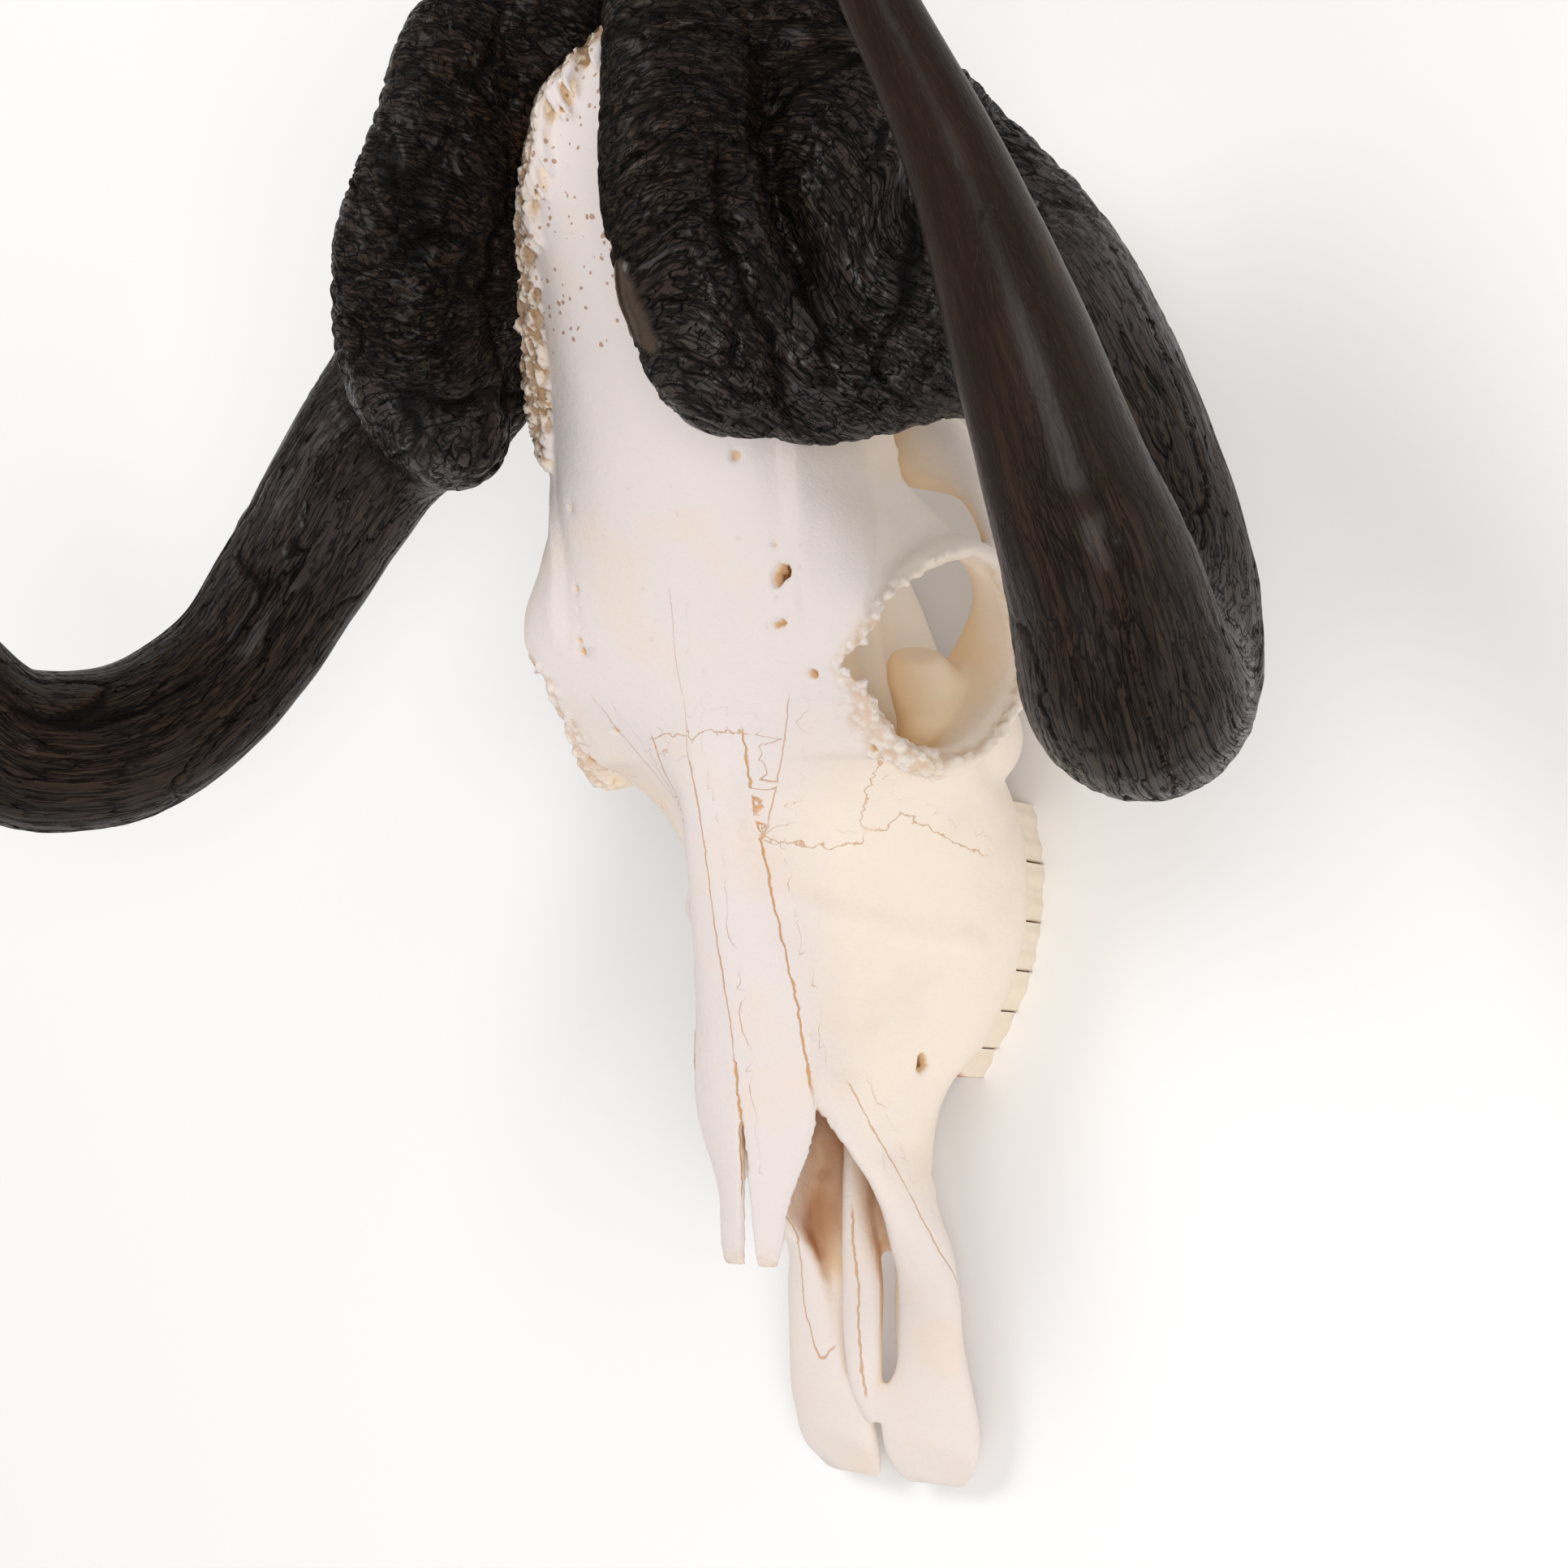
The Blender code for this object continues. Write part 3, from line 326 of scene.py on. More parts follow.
# sRGB colours of each finish.
BONE_PALE = "#e9deda"
BONE_CREAM = "#f6e7d7"
BONE_WARM = "#f0d9c4"
# In the hollows: a warm cream, partly the less bleached bone and partly painted light; a tan, partly that
# bone's own colour and partly painted shade; brown painted shade deep in the nose.
RECESS_CREAM_PAINTED_LIGHT = "#fde6c3"
RECESS_TAN_PAINTED_SHADE = "#e8bf90"
NOSE_PAINTED_SHADE = "#a9683a"
# Spongy bone and the rough orbit rims: a painted shade colour for the hollows between the grains, and a pale
# one for their tops.
SPONGY_SHADED = "#a9855f"
SPONGY_PALE = "#f1e2cf"
RIM_SHADED = "#d8ae82"
RIM_PALE = "#f5e9dc"
PORE_BROWN = "#a87852"
# Painted shade inside the holes and pits: tan, and brown deeper in.
HOLE_PAINTED_SHADE_TAN = "#ddb98f"
HOLE_PAINTED_SHADE_BROWN = "#96653d"
SUTURE_BROWN = "#d4923f"
HORN_BLACK = "#1a120f"
HORN_BROWN = "#3b281c"
HORN_SHAFT = "#261a13"
# Lighter blocks of the boss: partly random tone, partly painted highlight.
BLOCK_TONE_AND_HIGHLIGHT = "#473527"
# A painted sheen for the outer boss.
HORN_PAINTED_SHEEN = "#4c4244"
# Painted glints on the horn's raised fibres.
FIBRE_PAINTED_GLINT = "#5a4637"
HORN_SMOOTH = "#21130c"
HORN_STREAK = "#3b281b"
# Painted shade in the horn's cracks.
CRACK_PAINTED_SHADE = "#030202"
AMBER_HORN = "#402e19"
TOOTH_ENAMEL = "#f6ead8"
TOOTH_CEMENT = "#d9b98a"
# Brown stains in the teeth's clefts, and painted shade where they meet.
TOOTH_STAIN_AND_SHADE = "#a87440"
FLOOR_PALE = "#fdfcfb"
ROOM_WHITE = "#ffffff"

# Soft lights in metres and watts: place, width and power. They all point at one place.
LIGHTS = (
    ("soft light from the left", (-0.9, 0.9, 1.9), 1.2, 16),
    ("soft light from the right", (1.7, -0.4, 1.8), 1.2, 21),
    ("soft light from the front", (0.5, -2.1, 1.6), 1.6, 10),
)
LIGHT_TARGET = (0, 0, 0.1)
ROOM_LIGHT = 0.5
# The photo's camera: place, focal length and sensor in millimetres, and its axes.
CAMERA_PLACE = (633, 139, 862)
CAMERA_FOCAL = 68.85
CAMERA_SENSOR = 36
CAMERA_AXES = ((0.77697, 0.02719, 0.6289), (0.04152, 0.99468, -0.0943), (-0.62816, 0.09937, 0.7717))

# The setting that a node's kind may name after a colon.
MAIN_SETTING = {
    "Attribute": "attribute_name", "MapRange": "interpolation_type", "Math": "operation", "Mix": "data_type",
    "VectorMath": "operation",
}


def linear(colour):
    """A sRGB hex value as linear red, green, blue and alpha."""
    parts = [int(colour[i:i + 2], 16) / 255 for i in (1, 3, 5)]
    return (*[c / 12.92 if c <= 0.04045 else ((c + 0.055) / 1.055) ** 2.4 for c in parts], 1.0)


class SkullSettings(bpy.types.PropertyGroup):
    """Grain, colours and floor of the skull's scene"""

    bone_grain: bpy.props.FloatProperty(
        name="Bone grain", description="Size of the bone's mesh cells", default=0.001, unit="LENGTH")
    horn_grain: bpy.props.FloatProperty(
        name="Horn grain", description="Size of the horn's mesh cells", default=0.0012, unit="LENGTH")
    most_triangles: bpy.props.IntProperty(
        name="Most triangles", description="Triangles kept in each large piece", default=190000)
    bone_colour: bpy.props.FloatVectorProperty(
        name="Bone", description="Bleached bone of the forehead", size=4, subtype="COLOR",
        default=linear(BONE_PALE))
    cream_colour: bpy.props.FloatVectorProperty(
        name="Cheek", description="Warmer bone of the cheeks", size=4, subtype="COLOR",
        default=linear(BONE_CREAM))
    horn_colour: bpy.props.FloatVectorProperty(
        name="Horn", description="Keratin of the sheaths", size=4, subtype="COLOR",
        default=linear(HORN_BLACK))
    tooth_colour: bpy.props.FloatVectorProperty(
        name="Teeth", description="Enamel of the cheek teeth", size=4, subtype="COLOR",
        default=linear(TOOTH_ENAMEL))
    floor_size: bpy.props.FloatProperty(
        name="Floor", description="Width of the floor", default=30.0, unit="LENGTH")


def place(x, back, up):
    """A place of the tables in the frame, in metres."""
    return Vector((x, back - ORIGIN_BACK, up)) * MM


def smooth_run(stations, per_span):
    """Catmull-Rom points through tuples of any length."""
    first = [2 * a - b for a, b in zip(stations[0], stations[1])]
    last = [2 * a - b for a, b in zip(stations[-1], stations[-2])]
    ends = [first, *stations, last]
    run = []
    for a, b, c, d in zip(ends, ends[1:], ends[2:], ends[3:]):
        for step in range(per_span):
            t = step / per_span
            run.append(tuple(
                0.5 * (2 * q + (r - p) * t + (2 * p - 5 * q + 4 * r - s) * t * t
                       + (3 * q - p - 3 * r + s) * t ** 3)
                for p, q, r, s in zip(a, b, c, d)
            ))
    return [*run, tuple(stations[-1])]


def object_of(bm, name):
    """A mesh object from a bmesh, with its faces turned outwards."""
    bmesh.ops.recalc_face_normals(bm, faces=bm.faces)
    mesh = bpy.data.meshes.new(name)
    bm.to_mesh(mesh)
    bm.free()
    made = bpy.data.objects.new(name, mesh)
    bpy.context.scene.collection.objects.link(made)
    return made


def add_loft(bm, rings, closed=False):
    """A skin over rings of points, with a cap at each end unless the rings close on themselves."""
    rows = [[bm.verts.new(place(*point)) for point in ring] for ring in rings]
    count = len(rows[0])
    for low, high in zip(rows, rows[1:] + (rows[:1] if closed else [])):
        for i in range(count):
            j = (i + 1) % count
            bm.faces.new((low[i], low[j], high[j], high[i]))
    if not closed:
        bm.faces.new(rows[0])
        bm.faces.new(rows[-1])


def half_outlines(sections, per_span):
    """Whole rings, mirrored from half outlines at stations along the skull."""
    flat = [(back, *[value for point in outline for value in point]) for back, outline in sections]
    rings = []
    for row in smooth_run(flat, per_span):
        back, values = row[0], row[1:]
        half = smooth_run([(values[i], values[i + 1]) for i in range(0, len(values), 2)], 5)
        left = [(max(x, 0.0), back, up) for x, up in half]
        rings.append(left + [(-x, back, up) for x, _, up in reversed(left[1:-1])])
    return rings


def both_sides(side, point):
    """The point itself for side 1, and its mirror image for side -1."""
    return (point[0] * side, *point[1:])


def oval(centre, across, wide, high, tall, sides, side):
    """Points once round an oval, from two directions and two half axes."""
    turns = [2 * math.pi * k / sides for k in range(sides)]
    spots = [centre + across * math.cos(turn) * wide + high * math.sin(turn) * tall for turn in turns]
    return [both_sides(side, tuple(spot)) for spot in spots]


def add_tube(bm, stations, per_span=6, sides=32, upright=(0, 0, 1), side=1):
    """A tube along (x, back, up, across, high), whose high half axis starts upright and isn't twisted."""
    run = smooth_run(stations, per_span)
    centres = [Vector(row[:3]) for row in run]
    rings = []
    high = Vector(upright)
    for i, row in enumerate(run):
        along = (centres[min(i + 1, len(run) - 1)] - centres[max(i - 1, 0)]).normalized()
        across = along.cross(high).normalized()
        high = across.cross(along)
        rings.append(oval(centres[i], across, row[3], high, row[4], sides, side))
    add_loft(bm, rings)


def add_ball(bm, centre, radii, side=1):
    """A ball with three radii."""
    made = bmesh.ops.create_icosphere(bm, subdivisions=4, radius=1)
    size = Matrix.Diagonal((*[r * MM for r in radii], 1))
    where = Matrix.Translation(place(*both_sides(side, centre)))
    bmesh.ops.transform(bm, matrix=where @ size, verts=made["verts"])


def finish_modifiers(made):
    """Applies the object's modifiers, as the Apply button does."""
    bpy.ops.object.select_all(action="DESELECT")
    made.select_set(True)
    bpy.context.view_layer.objects.active = made
    for modifier in list(made.modifiers):
        bpy.ops.object.modifier_apply(modifier=modifier.name)


def fuse(made, grain, rounds):
    """Makes overlapping shapes one skin with cells of this size, and softens it."""
    remesh = made.modifiers.new("one skin", "REMESH")
    remesh.mode = "VOXEL"
    remesh.voxel_size = grain
    soften = made.modifiers.new("soften", "SMOOTH")
    soften.factor = 0.5
    soften.iterations = rounds
    finish_modifiers(made)


def cut(made, cutter):
    """Takes one object's shape out of another."""
    boolean = made.modifiers.new("cut", "BOOLEAN")
    boolean.object = cutter
    boolean.operation = "DIFFERENCE"
    boolean.solver = "MANIFOLD"
    before = len(made.data.vertices)
    finish_modifiers(made)
    if made.modifiers or len(made.data.vertices) == before:
        raise RuntimeError("the cut on " + made.name + " was skipped")
    bpy.data.objects.remove(cutter)


def thin_out(made, triangles):
    """Leaves at most this many triangles."""
    made.data.calc_loop_triangles()
    share = triangles / len(made.data.loop_triangles)
    if share < 1:
        decimate = made.modifiers.new("thin out", "DECIMATE")
        decimate.ratio = share
        finish_modifiers(made)


def keep_largest(made):
    """Drops the crumbs that a cut leaves beside the piece itself."""
    bm = bmesh.new()
    bm.from_mesh(made.data)
    islands, seen = [], set()
    for start in bm.verts:
        if start in seen:
            continue
        seen.add(start)
        island, edge = [start], [start]
        while edge:
            vert = edge.pop()
            for link in vert.link_edges:
                other = link.other_vert(vert)
                if other not in seen:
                    seen.add(other)
                    island.append(other)
                    edge.append(other)
        islands.append(island)
    islands.sort(key=len)
    for island in islands[:-1]:
        bmesh.ops.delete(bm, geom=island, context="VERTS")
    bm.to_mesh(made.data)
    bm.free()


def points_of(made):
    """The object's vertices in table millimetres, and their normals."""
    count = len(made.data.vertices)
    points = np.empty(count * 3, np.float32)
    made.data.vertices.foreach_get("co", points)
    normals = np.empty(count * 3, np.float32)
    made.data.vertex_normals.foreach_get("vector", normals)
    points = points.reshape(-1, 3).astype(float) / MM
    points[:, 1] += ORIGIN_BACK
    return points, normals.reshape(-1, 3).astype(float)


def set_points(made, points):
    """Moves the object's vertices to these places in table millimetres."""
    moved = points.copy()
    moved[:, 1] -= ORIGIN_BACK
    made.data.vertices.foreach_set("co", (moved * MM).astype(np.float32).ravel())
    made.data.update()


def store(made, **values):
    """Stores one number or three for each vertex under each name, for the materials to read."""
    for name, rows in values.items():
        kind, field = ("FLOAT", "value") if np.ndim(rows) == 1 else ("FLOAT_VECTOR", "vector")
        layer = made.data.attributes.get(name) or made.data.attributes.new(name, kind, "POINT")
        layer.data.foreach_set(field, np.asarray(rows, np.float32).ravel())


def ramp(values, low, high):
    """0 below low, 1 above high and an even curve between."""
    share = np.clip((values - low) / (high - low), 0, 1)
    return share * share * (3 - 2 * share)


def lattice(i, j, k):
    """A fixed pseudo-random number from 0 to 1 for each whole-numbered place."""
    mixed = (i * 73856093) ^ (j * 19349663) ^ (k * 83492791)
    mixed = (mixed ^ (mixed >> 13)) & 0x7FFFFFFF
    mixed = (mixed * 1274126177) & 0x7FFFFFFFFFFF
    mixed = mixed ^ (mixed >> 17)
    return (mixed & 0xFFFFFF) / 0xFFFFFF


def cloud(points, size, seed=0):
    """Soft noise from -1 to 1 with lumps of about this size in millimetres."""
    scaled = points / np.asarray(size, float) + seed * 17.31
    whole = np.floor(scaled).astype(np.int64)
    part = scaled - whole
    part = part * part * (3 - 2 * part)
    total = np.zeros(len(points))
    for dx in (0, 1):
        for dy in (0, 1):
            for dz in (0, 1):
                weight = (
                    (part[:, 0] if dx else 1 - part[:, 0])
                    * (part[:, 1] if dy else 1 - part[:, 1])
                    * (part[:, 2] if dz else 1 - part[:, 2])
                )
                total += weight * lattice(whole[:, 0] + dx, whole[:, 1] + dy, whole[:, 2] + dz)
    return total * 2 - 1


def cells(points, size, seed=0):
    """Distances to the nearest and second nearest of scattered centres, and a number for the nearest."""
    scaled = points / np.asarray(size, float) + seed * 11.7
    whole = np.floor(scaled).astype(np.int64)
    near = np.full(len(points), 9.0)
    second = np.full(len(points), 9.0)
    number = np.zeros(len(points))
    for dx in (-1, 0, 1):
        for dy in (-1, 0, 1):
            for dz in (-1, 0, 1):
                i, j, k = whole[:, 0] + dx, whole[:, 1] + dy, whole[:, 2] + dz
                centre = np.stack(
                    (i + lattice(i, j, k), j + lattice(j, k, i + 7), k + lattice(k, i + 3, j)), axis=1)
                distance = np.sqrt(((centre - scaled) ** 2).sum(axis=1))
                closer = distance < near
                second = np.where(closer, near, np.minimum(second, distance))
                number = np.where(closer, lattice(i + 5, j, k), number)
                near = np.where(closer, distance, near)
    return near, second, number


def keep_inside(made):
    """Brings points that the relief lifts past the box of the solids back onto it."""
    points, _ = points_of(made)
    low, high = (np.array(corner) / MM + (0, ORIGIN_BACK, 0) for corner in SOLID_BOX)
    set_points(made, np.clip(points, low, high))


def tree_of(made):
    """The object's surface, for distance and ray tests."""
    mesh = made.data
    points = np.empty(len(mesh.vertices) * 3, np.float32)
    mesh.vertices.foreach_get("co", points)
    faces = [tuple(face.vertices) for face in mesh.polygons]
    return BVHTree.FromPolygons([tuple(point) for point in points.reshape(-1, 3).tolist()], faces)


def coarse_tree(made, ratio):
    """The surface of a thinned copy, for quicker tests."""
    copy = made.copy()
    copy.data = made.data.copy()
    bpy.context.scene.collection.objects.link(copy)
    decimate = copy.modifiers.new("thin out", "DECIMATE")
    decimate.ratio = ratio
    finish_modifiers(copy)
    tree = tree_of(copy)
    bpy.data.objects.remove(copy)
    return tree


def distance_to(tree, points, picked, reach):
    """Millimetres from each picked point to a surface, up to a reach."""
    found = np.full(len(points), float(reach))
    for i in np.flatnonzero(picked):
        hit = tree.find_nearest(place(*points[i]), reach * MM)
        if hit[3] is not None:
            found[i] = hit[3] / MM
    return found


def nearest_of(points, line):
    """Index of the nearest point of a line for each point, and the distance."""
    best = np.full(len(points), 1e9)
    index = np.zeros(len(points), int)
    for i, q in enumerate(line):
        distance = ((points - q) ** 2).sum(axis=1)
        closer = distance < best
        best[closer] = distance[closer]
        index[closer] = i
    return index, np.sqrt(best)


def seam_values(points, normals, seams, reach=7.0):
    """Signed distance to the nearest suture, and how strongly it shows."""
    offset = np.full(len(points), 10.0)
    shown = np.zeros(len(points))
    nearest = np.full(len(points), reach)
    for sides, width, strength, stations in seams:
        line = np.array(smooth_run(stations, 8))
        for side in ((1,) if sides else (1, -1)):
            path = line * (side, 1, 1)
            low, high = path.min(axis=0) - reach, path.max(axis=0) + reach
            picked = np.flatnonzero(((points > low) & (points < high)).all(axis=1))
            if not len(picked):
                continue
            index, distance = nearest_of(points[picked], path)
            along = np.gradient(path, axis=0)[index]
            along /= np.linalg.norm(along, axis=1)[:, None]
            across = np.cross(along, normals[picked])
            across /= np.linalg.norm(across, axis=1)[:, None] + 1e-9
            away = points[picked] - path[index]
            beyond = np.abs((away * along).sum(axis=1)) * ((index == 0) | (index == len(path) - 1))
            closer = distance < nearest[picked]
            chosen = picked[closer]
            offset[chosen] = ((away * across).sum(axis=1) / width)[closer]
            seen = strength * (1 - ramp(distance, reach * 0.6, reach)) * (1 - ramp(beyond, 0.3, 2.0))
            shown[chosen] = seen[closer]
            nearest[chosen] = distance[closer]
    return offset, shown


def recess_values(tree, points, normals):
    """How enclosed each vertex is, from 0 in the open to 1 deep inside, by rays over its hemisphere."""
    rays = []
    for k in range(RECESS_RAYS):
        height = 0.15 + 0.8 * k / RECESS_RAYS
        turn = k * GOLDEN_TURN
        flat = math.sqrt(1 - height * height)
        rays.append((flat * math.cos(turn), flat * math.sin(turn), height))
    enclosed = np.zeros(len(points))
    for i, (point, normal) in enumerate(zip(points, normals)):
        up = Vector(normal)
        turn = up.to_track_quat("Z", "Y")
        start = place(*point) + up * 0.6 * MM
        hits = 0.0
        for ray in rays:
            hit = tree.ray_cast(start, turn @ Vector(ray), RECESS_REACH)
            if hit[3] is not None:
                hits += 1 - 0.5 * hit[3] / RECESS_REACH
        enclosed[i] = hits / len(rays)
    return enclosed


def spread(made, values, rounds):
    """Evens a number out over the mesh's edges."""
    ends = np.empty(len(made.data.edges) * 2, np.int32)
    made.data.edges.foreach_get("vertices", ends)
    ends = ends.reshape(-1, 2)
    count = np.bincount(ends.ravel(), minlength=len(values)).astype(float)
    for _ in range(rounds):
        total = np.bincount(ends[:, 0], weights=values[ends[:, 1]], minlength=len(values))
        total += np.bincount(ends[:, 1], weights=values[ends[:, 0]], minlength=len(values))
        values = 0.4 * values + 0.6 * total / np.maximum(count, 1)
    return values


def node(tree, kind, *values, out=0, **named):
    """Adds a shader node and gives one of its outputs.

    kind may name the node's main setting after a colon. values fill the inputs that the node shows, in order.
    Of the other names, those with a capital are inputs and the rest are settings. An input takes a link, a
    value or a hex colour.
    """
    kind, _, choice = kind.partition(":")
    made = tree.nodes.new("ShaderNode" + kind)
    if choice:
        setattr(made, MAIN_SETTING[kind], choice)
    for name, value in named.items():
        if name[0].islower():
            setattr(made, name, value)
    filled = list(zip([socket for socket in made.inputs if socket.enabled], values))
    for name, value in named.items():
        if name[0].isupper():
            filled.append((made.inputs[name.replace("_", " ")], value))
    for socket, value in filled:
        if isinstance(value, bpy.types.NodeSocket):
            tree.links.new(value, socket)
        else:
            socket.default_value = linear(value) if isinstance(value, str) else value
    if isinstance(out, str):
        return made.outputs[out]
    shown = [socket for socket in made.outputs if socket.enabled]
    return shown[out] if shown else None


def new_material(name):
    """An empty material, and the call that adds a node to it."""
    made = bpy.data.materials.new(name)
    made.use_nodes = True
    made.node_tree.nodes.clear()
    return made, partial(node, made.node_tree)


def scale_of(size):
    """How often a pattern of this size in millimetres fits in a metre."""
    return 1 / (size * MM)


def drawn_noise(add, where, sizes, out=0, **named):
    """Noise drawn out to three sizes in millimetres."""
    stretched = add("VectorMath:MULTIPLY", where, [scale_of(size) for size in sizes])
    return add("TexNoise", stretched, out=out, Scale=1.0, **named)


def crack_lines(add, where, sizes, width):
    """Wandering lines where soft noise passes its middle, drawn out by the three sizes."""
    noise = drawn_noise(add, where, sizes, Detail=2.0)
    off = add("Math:ABSOLUTE", add("Math:SUBTRACT", noise, 0.5))
    return add("MapRange:SMOOTHSTEP", off, width, 0.0)


def block_number(add, where, sizes):
    """A number for each block of the given sizes along and across the growth, in millimetres."""
    stretched = add("VectorMath:MULTIPLY", where, [scale_of(size) for size in sizes])
    return add("SeparateColor", add("TexVoronoi", stretched, out="Color", Scale=1.0))


def bleached_bone(settings):
    """Dry, sun-bleached bone: matt, faintly pink on top, creamy on the cheeks, and in its hollows warmer with
    painted light and tan with painted shade.
    """
    made, add = new_material("bleached bone")
    where = add("TexCoord", out="Object")
    names = ("recess", "cream", "spongy", "hollow", "rough", "pores", "nose", "crumb")
    recess, cream, spongy, hollow, rough, pores, nose, crumb = (
        add("Attribute:" + name, out="Fac") for name in names)
    mottle = add("TexNoise", where, Scale=scale_of(35.71), Detail=3.0)
    fine = add("TexNoise", where, Scale=scale_of(2.381), Detail=4.0, Roughness=0.6)
    granular = add("TexNoise", where, Scale=scale_of(1.0526), Detail=2.0)
    cream = add("Math:ADD", cream, add("Math:MULTIPLY_ADD", mottle, 0.7, -0.35), use_clamp=True)
    # How high each grain stands, with a random fine tone; the spongy and rim colours paint shade between the
    # grains by it.
    crumb = add("Math:MULTIPLY_ADD", crumb, 0.8, add("Math:MULTIPLY", fine, 0.5))
    crumb = add("MapRange:SMOOTHSTEP", crumb, 0.42, 0.82)

    # Vascular pores, 0.5 to 2 mm across, as on the bone between the horns.
    warp = add("TexNoise", where, out="Color", Scale=scale_of(6.25))
    spotted = add("VectorMath:MULTIPLY_ADD", warp, [3 * MM] * 3, where)
    spots = add("TexVoronoi", spotted, Scale=scale_of(3.03)).node.outputs
    lot = add("SeparateColor", spots["Color"]).node.outputs
    chosen = add("MapRange:SMOOTHSTEP", add("Math:MULTIPLY_ADD", pores, 0.62, lot["Red"]), 0.98, 1.0)
    pore = add("Math:LESS_THAN", spots["Distance"], add("Math:MULTIPLY_ADD", lot["Green"], 0.22, 0.1))
    porous = add("MapRange:SMOOTHSTEP", pores, 0.02, 0.2)
    pore = add("Math:MULTIPLY", add("Math:MULTIPLY", pore, chosen), porous)

    # Sutures: the stored distance is in line widths, and noise makes the line wander, knot and break.
    line = None
    thick = add("Math:MULTIPLY", add("TexNoise", where, Scale=scale_of(8.333)), 1.3)
    for name, wander, size in (("seam_along", 1.4, 3.846), ("seam_across", 8.0, 4.348)):
        noise = add("Math:SUBTRACT", add("TexNoise", where, Scale=scale_of(size), Detail=3.0), 0.5)
        bent = add("Math:MULTIPLY_ADD", noise, wander * 2, add("Attribute:" + name, out="Fac"))
        drawn = add("MapRange:SMOOTHSTEP", add("Math:ABSOLUTE", bent), thick, 0.15)
        shown = add("Math:MULTIPLY", add("Attribute:" + name + "_share", out="Fac"), 0.85)
        drawn = add("Math:MULTIPLY", drawn, shown)
        line = add("Math:MAXIMUM", line, drawn) if line else drawn

    # Each colour lies over the ones before it: the bone's own tones and marks, and painted light and shade.
    colour = add("Mix:RGBA", cream, settings.bone_colour, settings.cream_colour)
    for share, strength, tint in (
            (add("MapRange:SMOOTHSTEP", mottle, 0.5, 0.7), 0.35, BONE_WARM),
            # By how enclosed a place is: a warm cream that is partly painted light, then tan deeper in and
            # brown in the nose as painted shade.
            (add("MapRange:SMOOTHSTEP", recess, 0.25, 0.65), 1.0, RECESS_CREAM_PAINTED_LIGHT),
            (add("MapRange:SMOOTHSTEP", recess, 0.6, 0.95), 0.45, RECESS_TAN_PAINTED_SHADE),
            (add("MapRange:SMOOTHSTEP", recess, 0.3, 0.7), nose, NOSE_PAINTED_SHADE),
            # Painted shade between the grains of the spongy bone and the rims, from how low each grain lies.
            (spongy, 0.85, add("Mix:RGBA", crumb, SPONGY_SHADED, SPONGY_PALE)),
            (rough, 0.6, add("Mix:RGBA", crumb, RIM_SHADED, RIM_PALE)),
            (pore, 0.75, PORE_BROWN),
            # Painted shade inside the holes and pits, browner the deeper a place lies in one.
            (add("MapRange:SMOOTHSTEP", hollow, 0.1, 0.6), 1.0, HOLE_PAINTED_SHADE_TAN),
            (add("MapRange:SMOOTHSTEP", hollow, 0.75, 1.0), 1.0, HOLE_PAINTED_SHADE_BROWN),
            (line, 1.0, SUTURE_BROWN),
    ):
        colour = add("Mix:RGBA", add("Math:MULTIPLY", share, strength), colour, tint)

    relief = add("Math:MULTIPLY", fine, add("Math:MULTIPLY_ADD", spongy, 3.0, 0.75))
    relief = add("Math:MULTIPLY_ADD", granular, add("Math:MULTIPLY_ADD", rough, 1.5, 0.3), relief)
    relief = add("Math:MULTIPLY_ADD", line, -1.2, relief)
    relief = add("Math:MULTIPLY_ADD", pore, -2.0, relief)
    bump = add("Bump", Strength=0.6, Distance=0.7 * MM, Height=relief)
    shader = add("BsdfPrincipled", Base_Color=colour, Normal=bump, Roughness=0.62, IOR=1.5,
                 Specular_IOR_Level=0.3, Subsurface_Weight=0.06,
                 Subsurface_Radius=(4 * MM, 2.5 * MM, 1.5 * MM))
    add("OutputMaterial", shader)
    return made


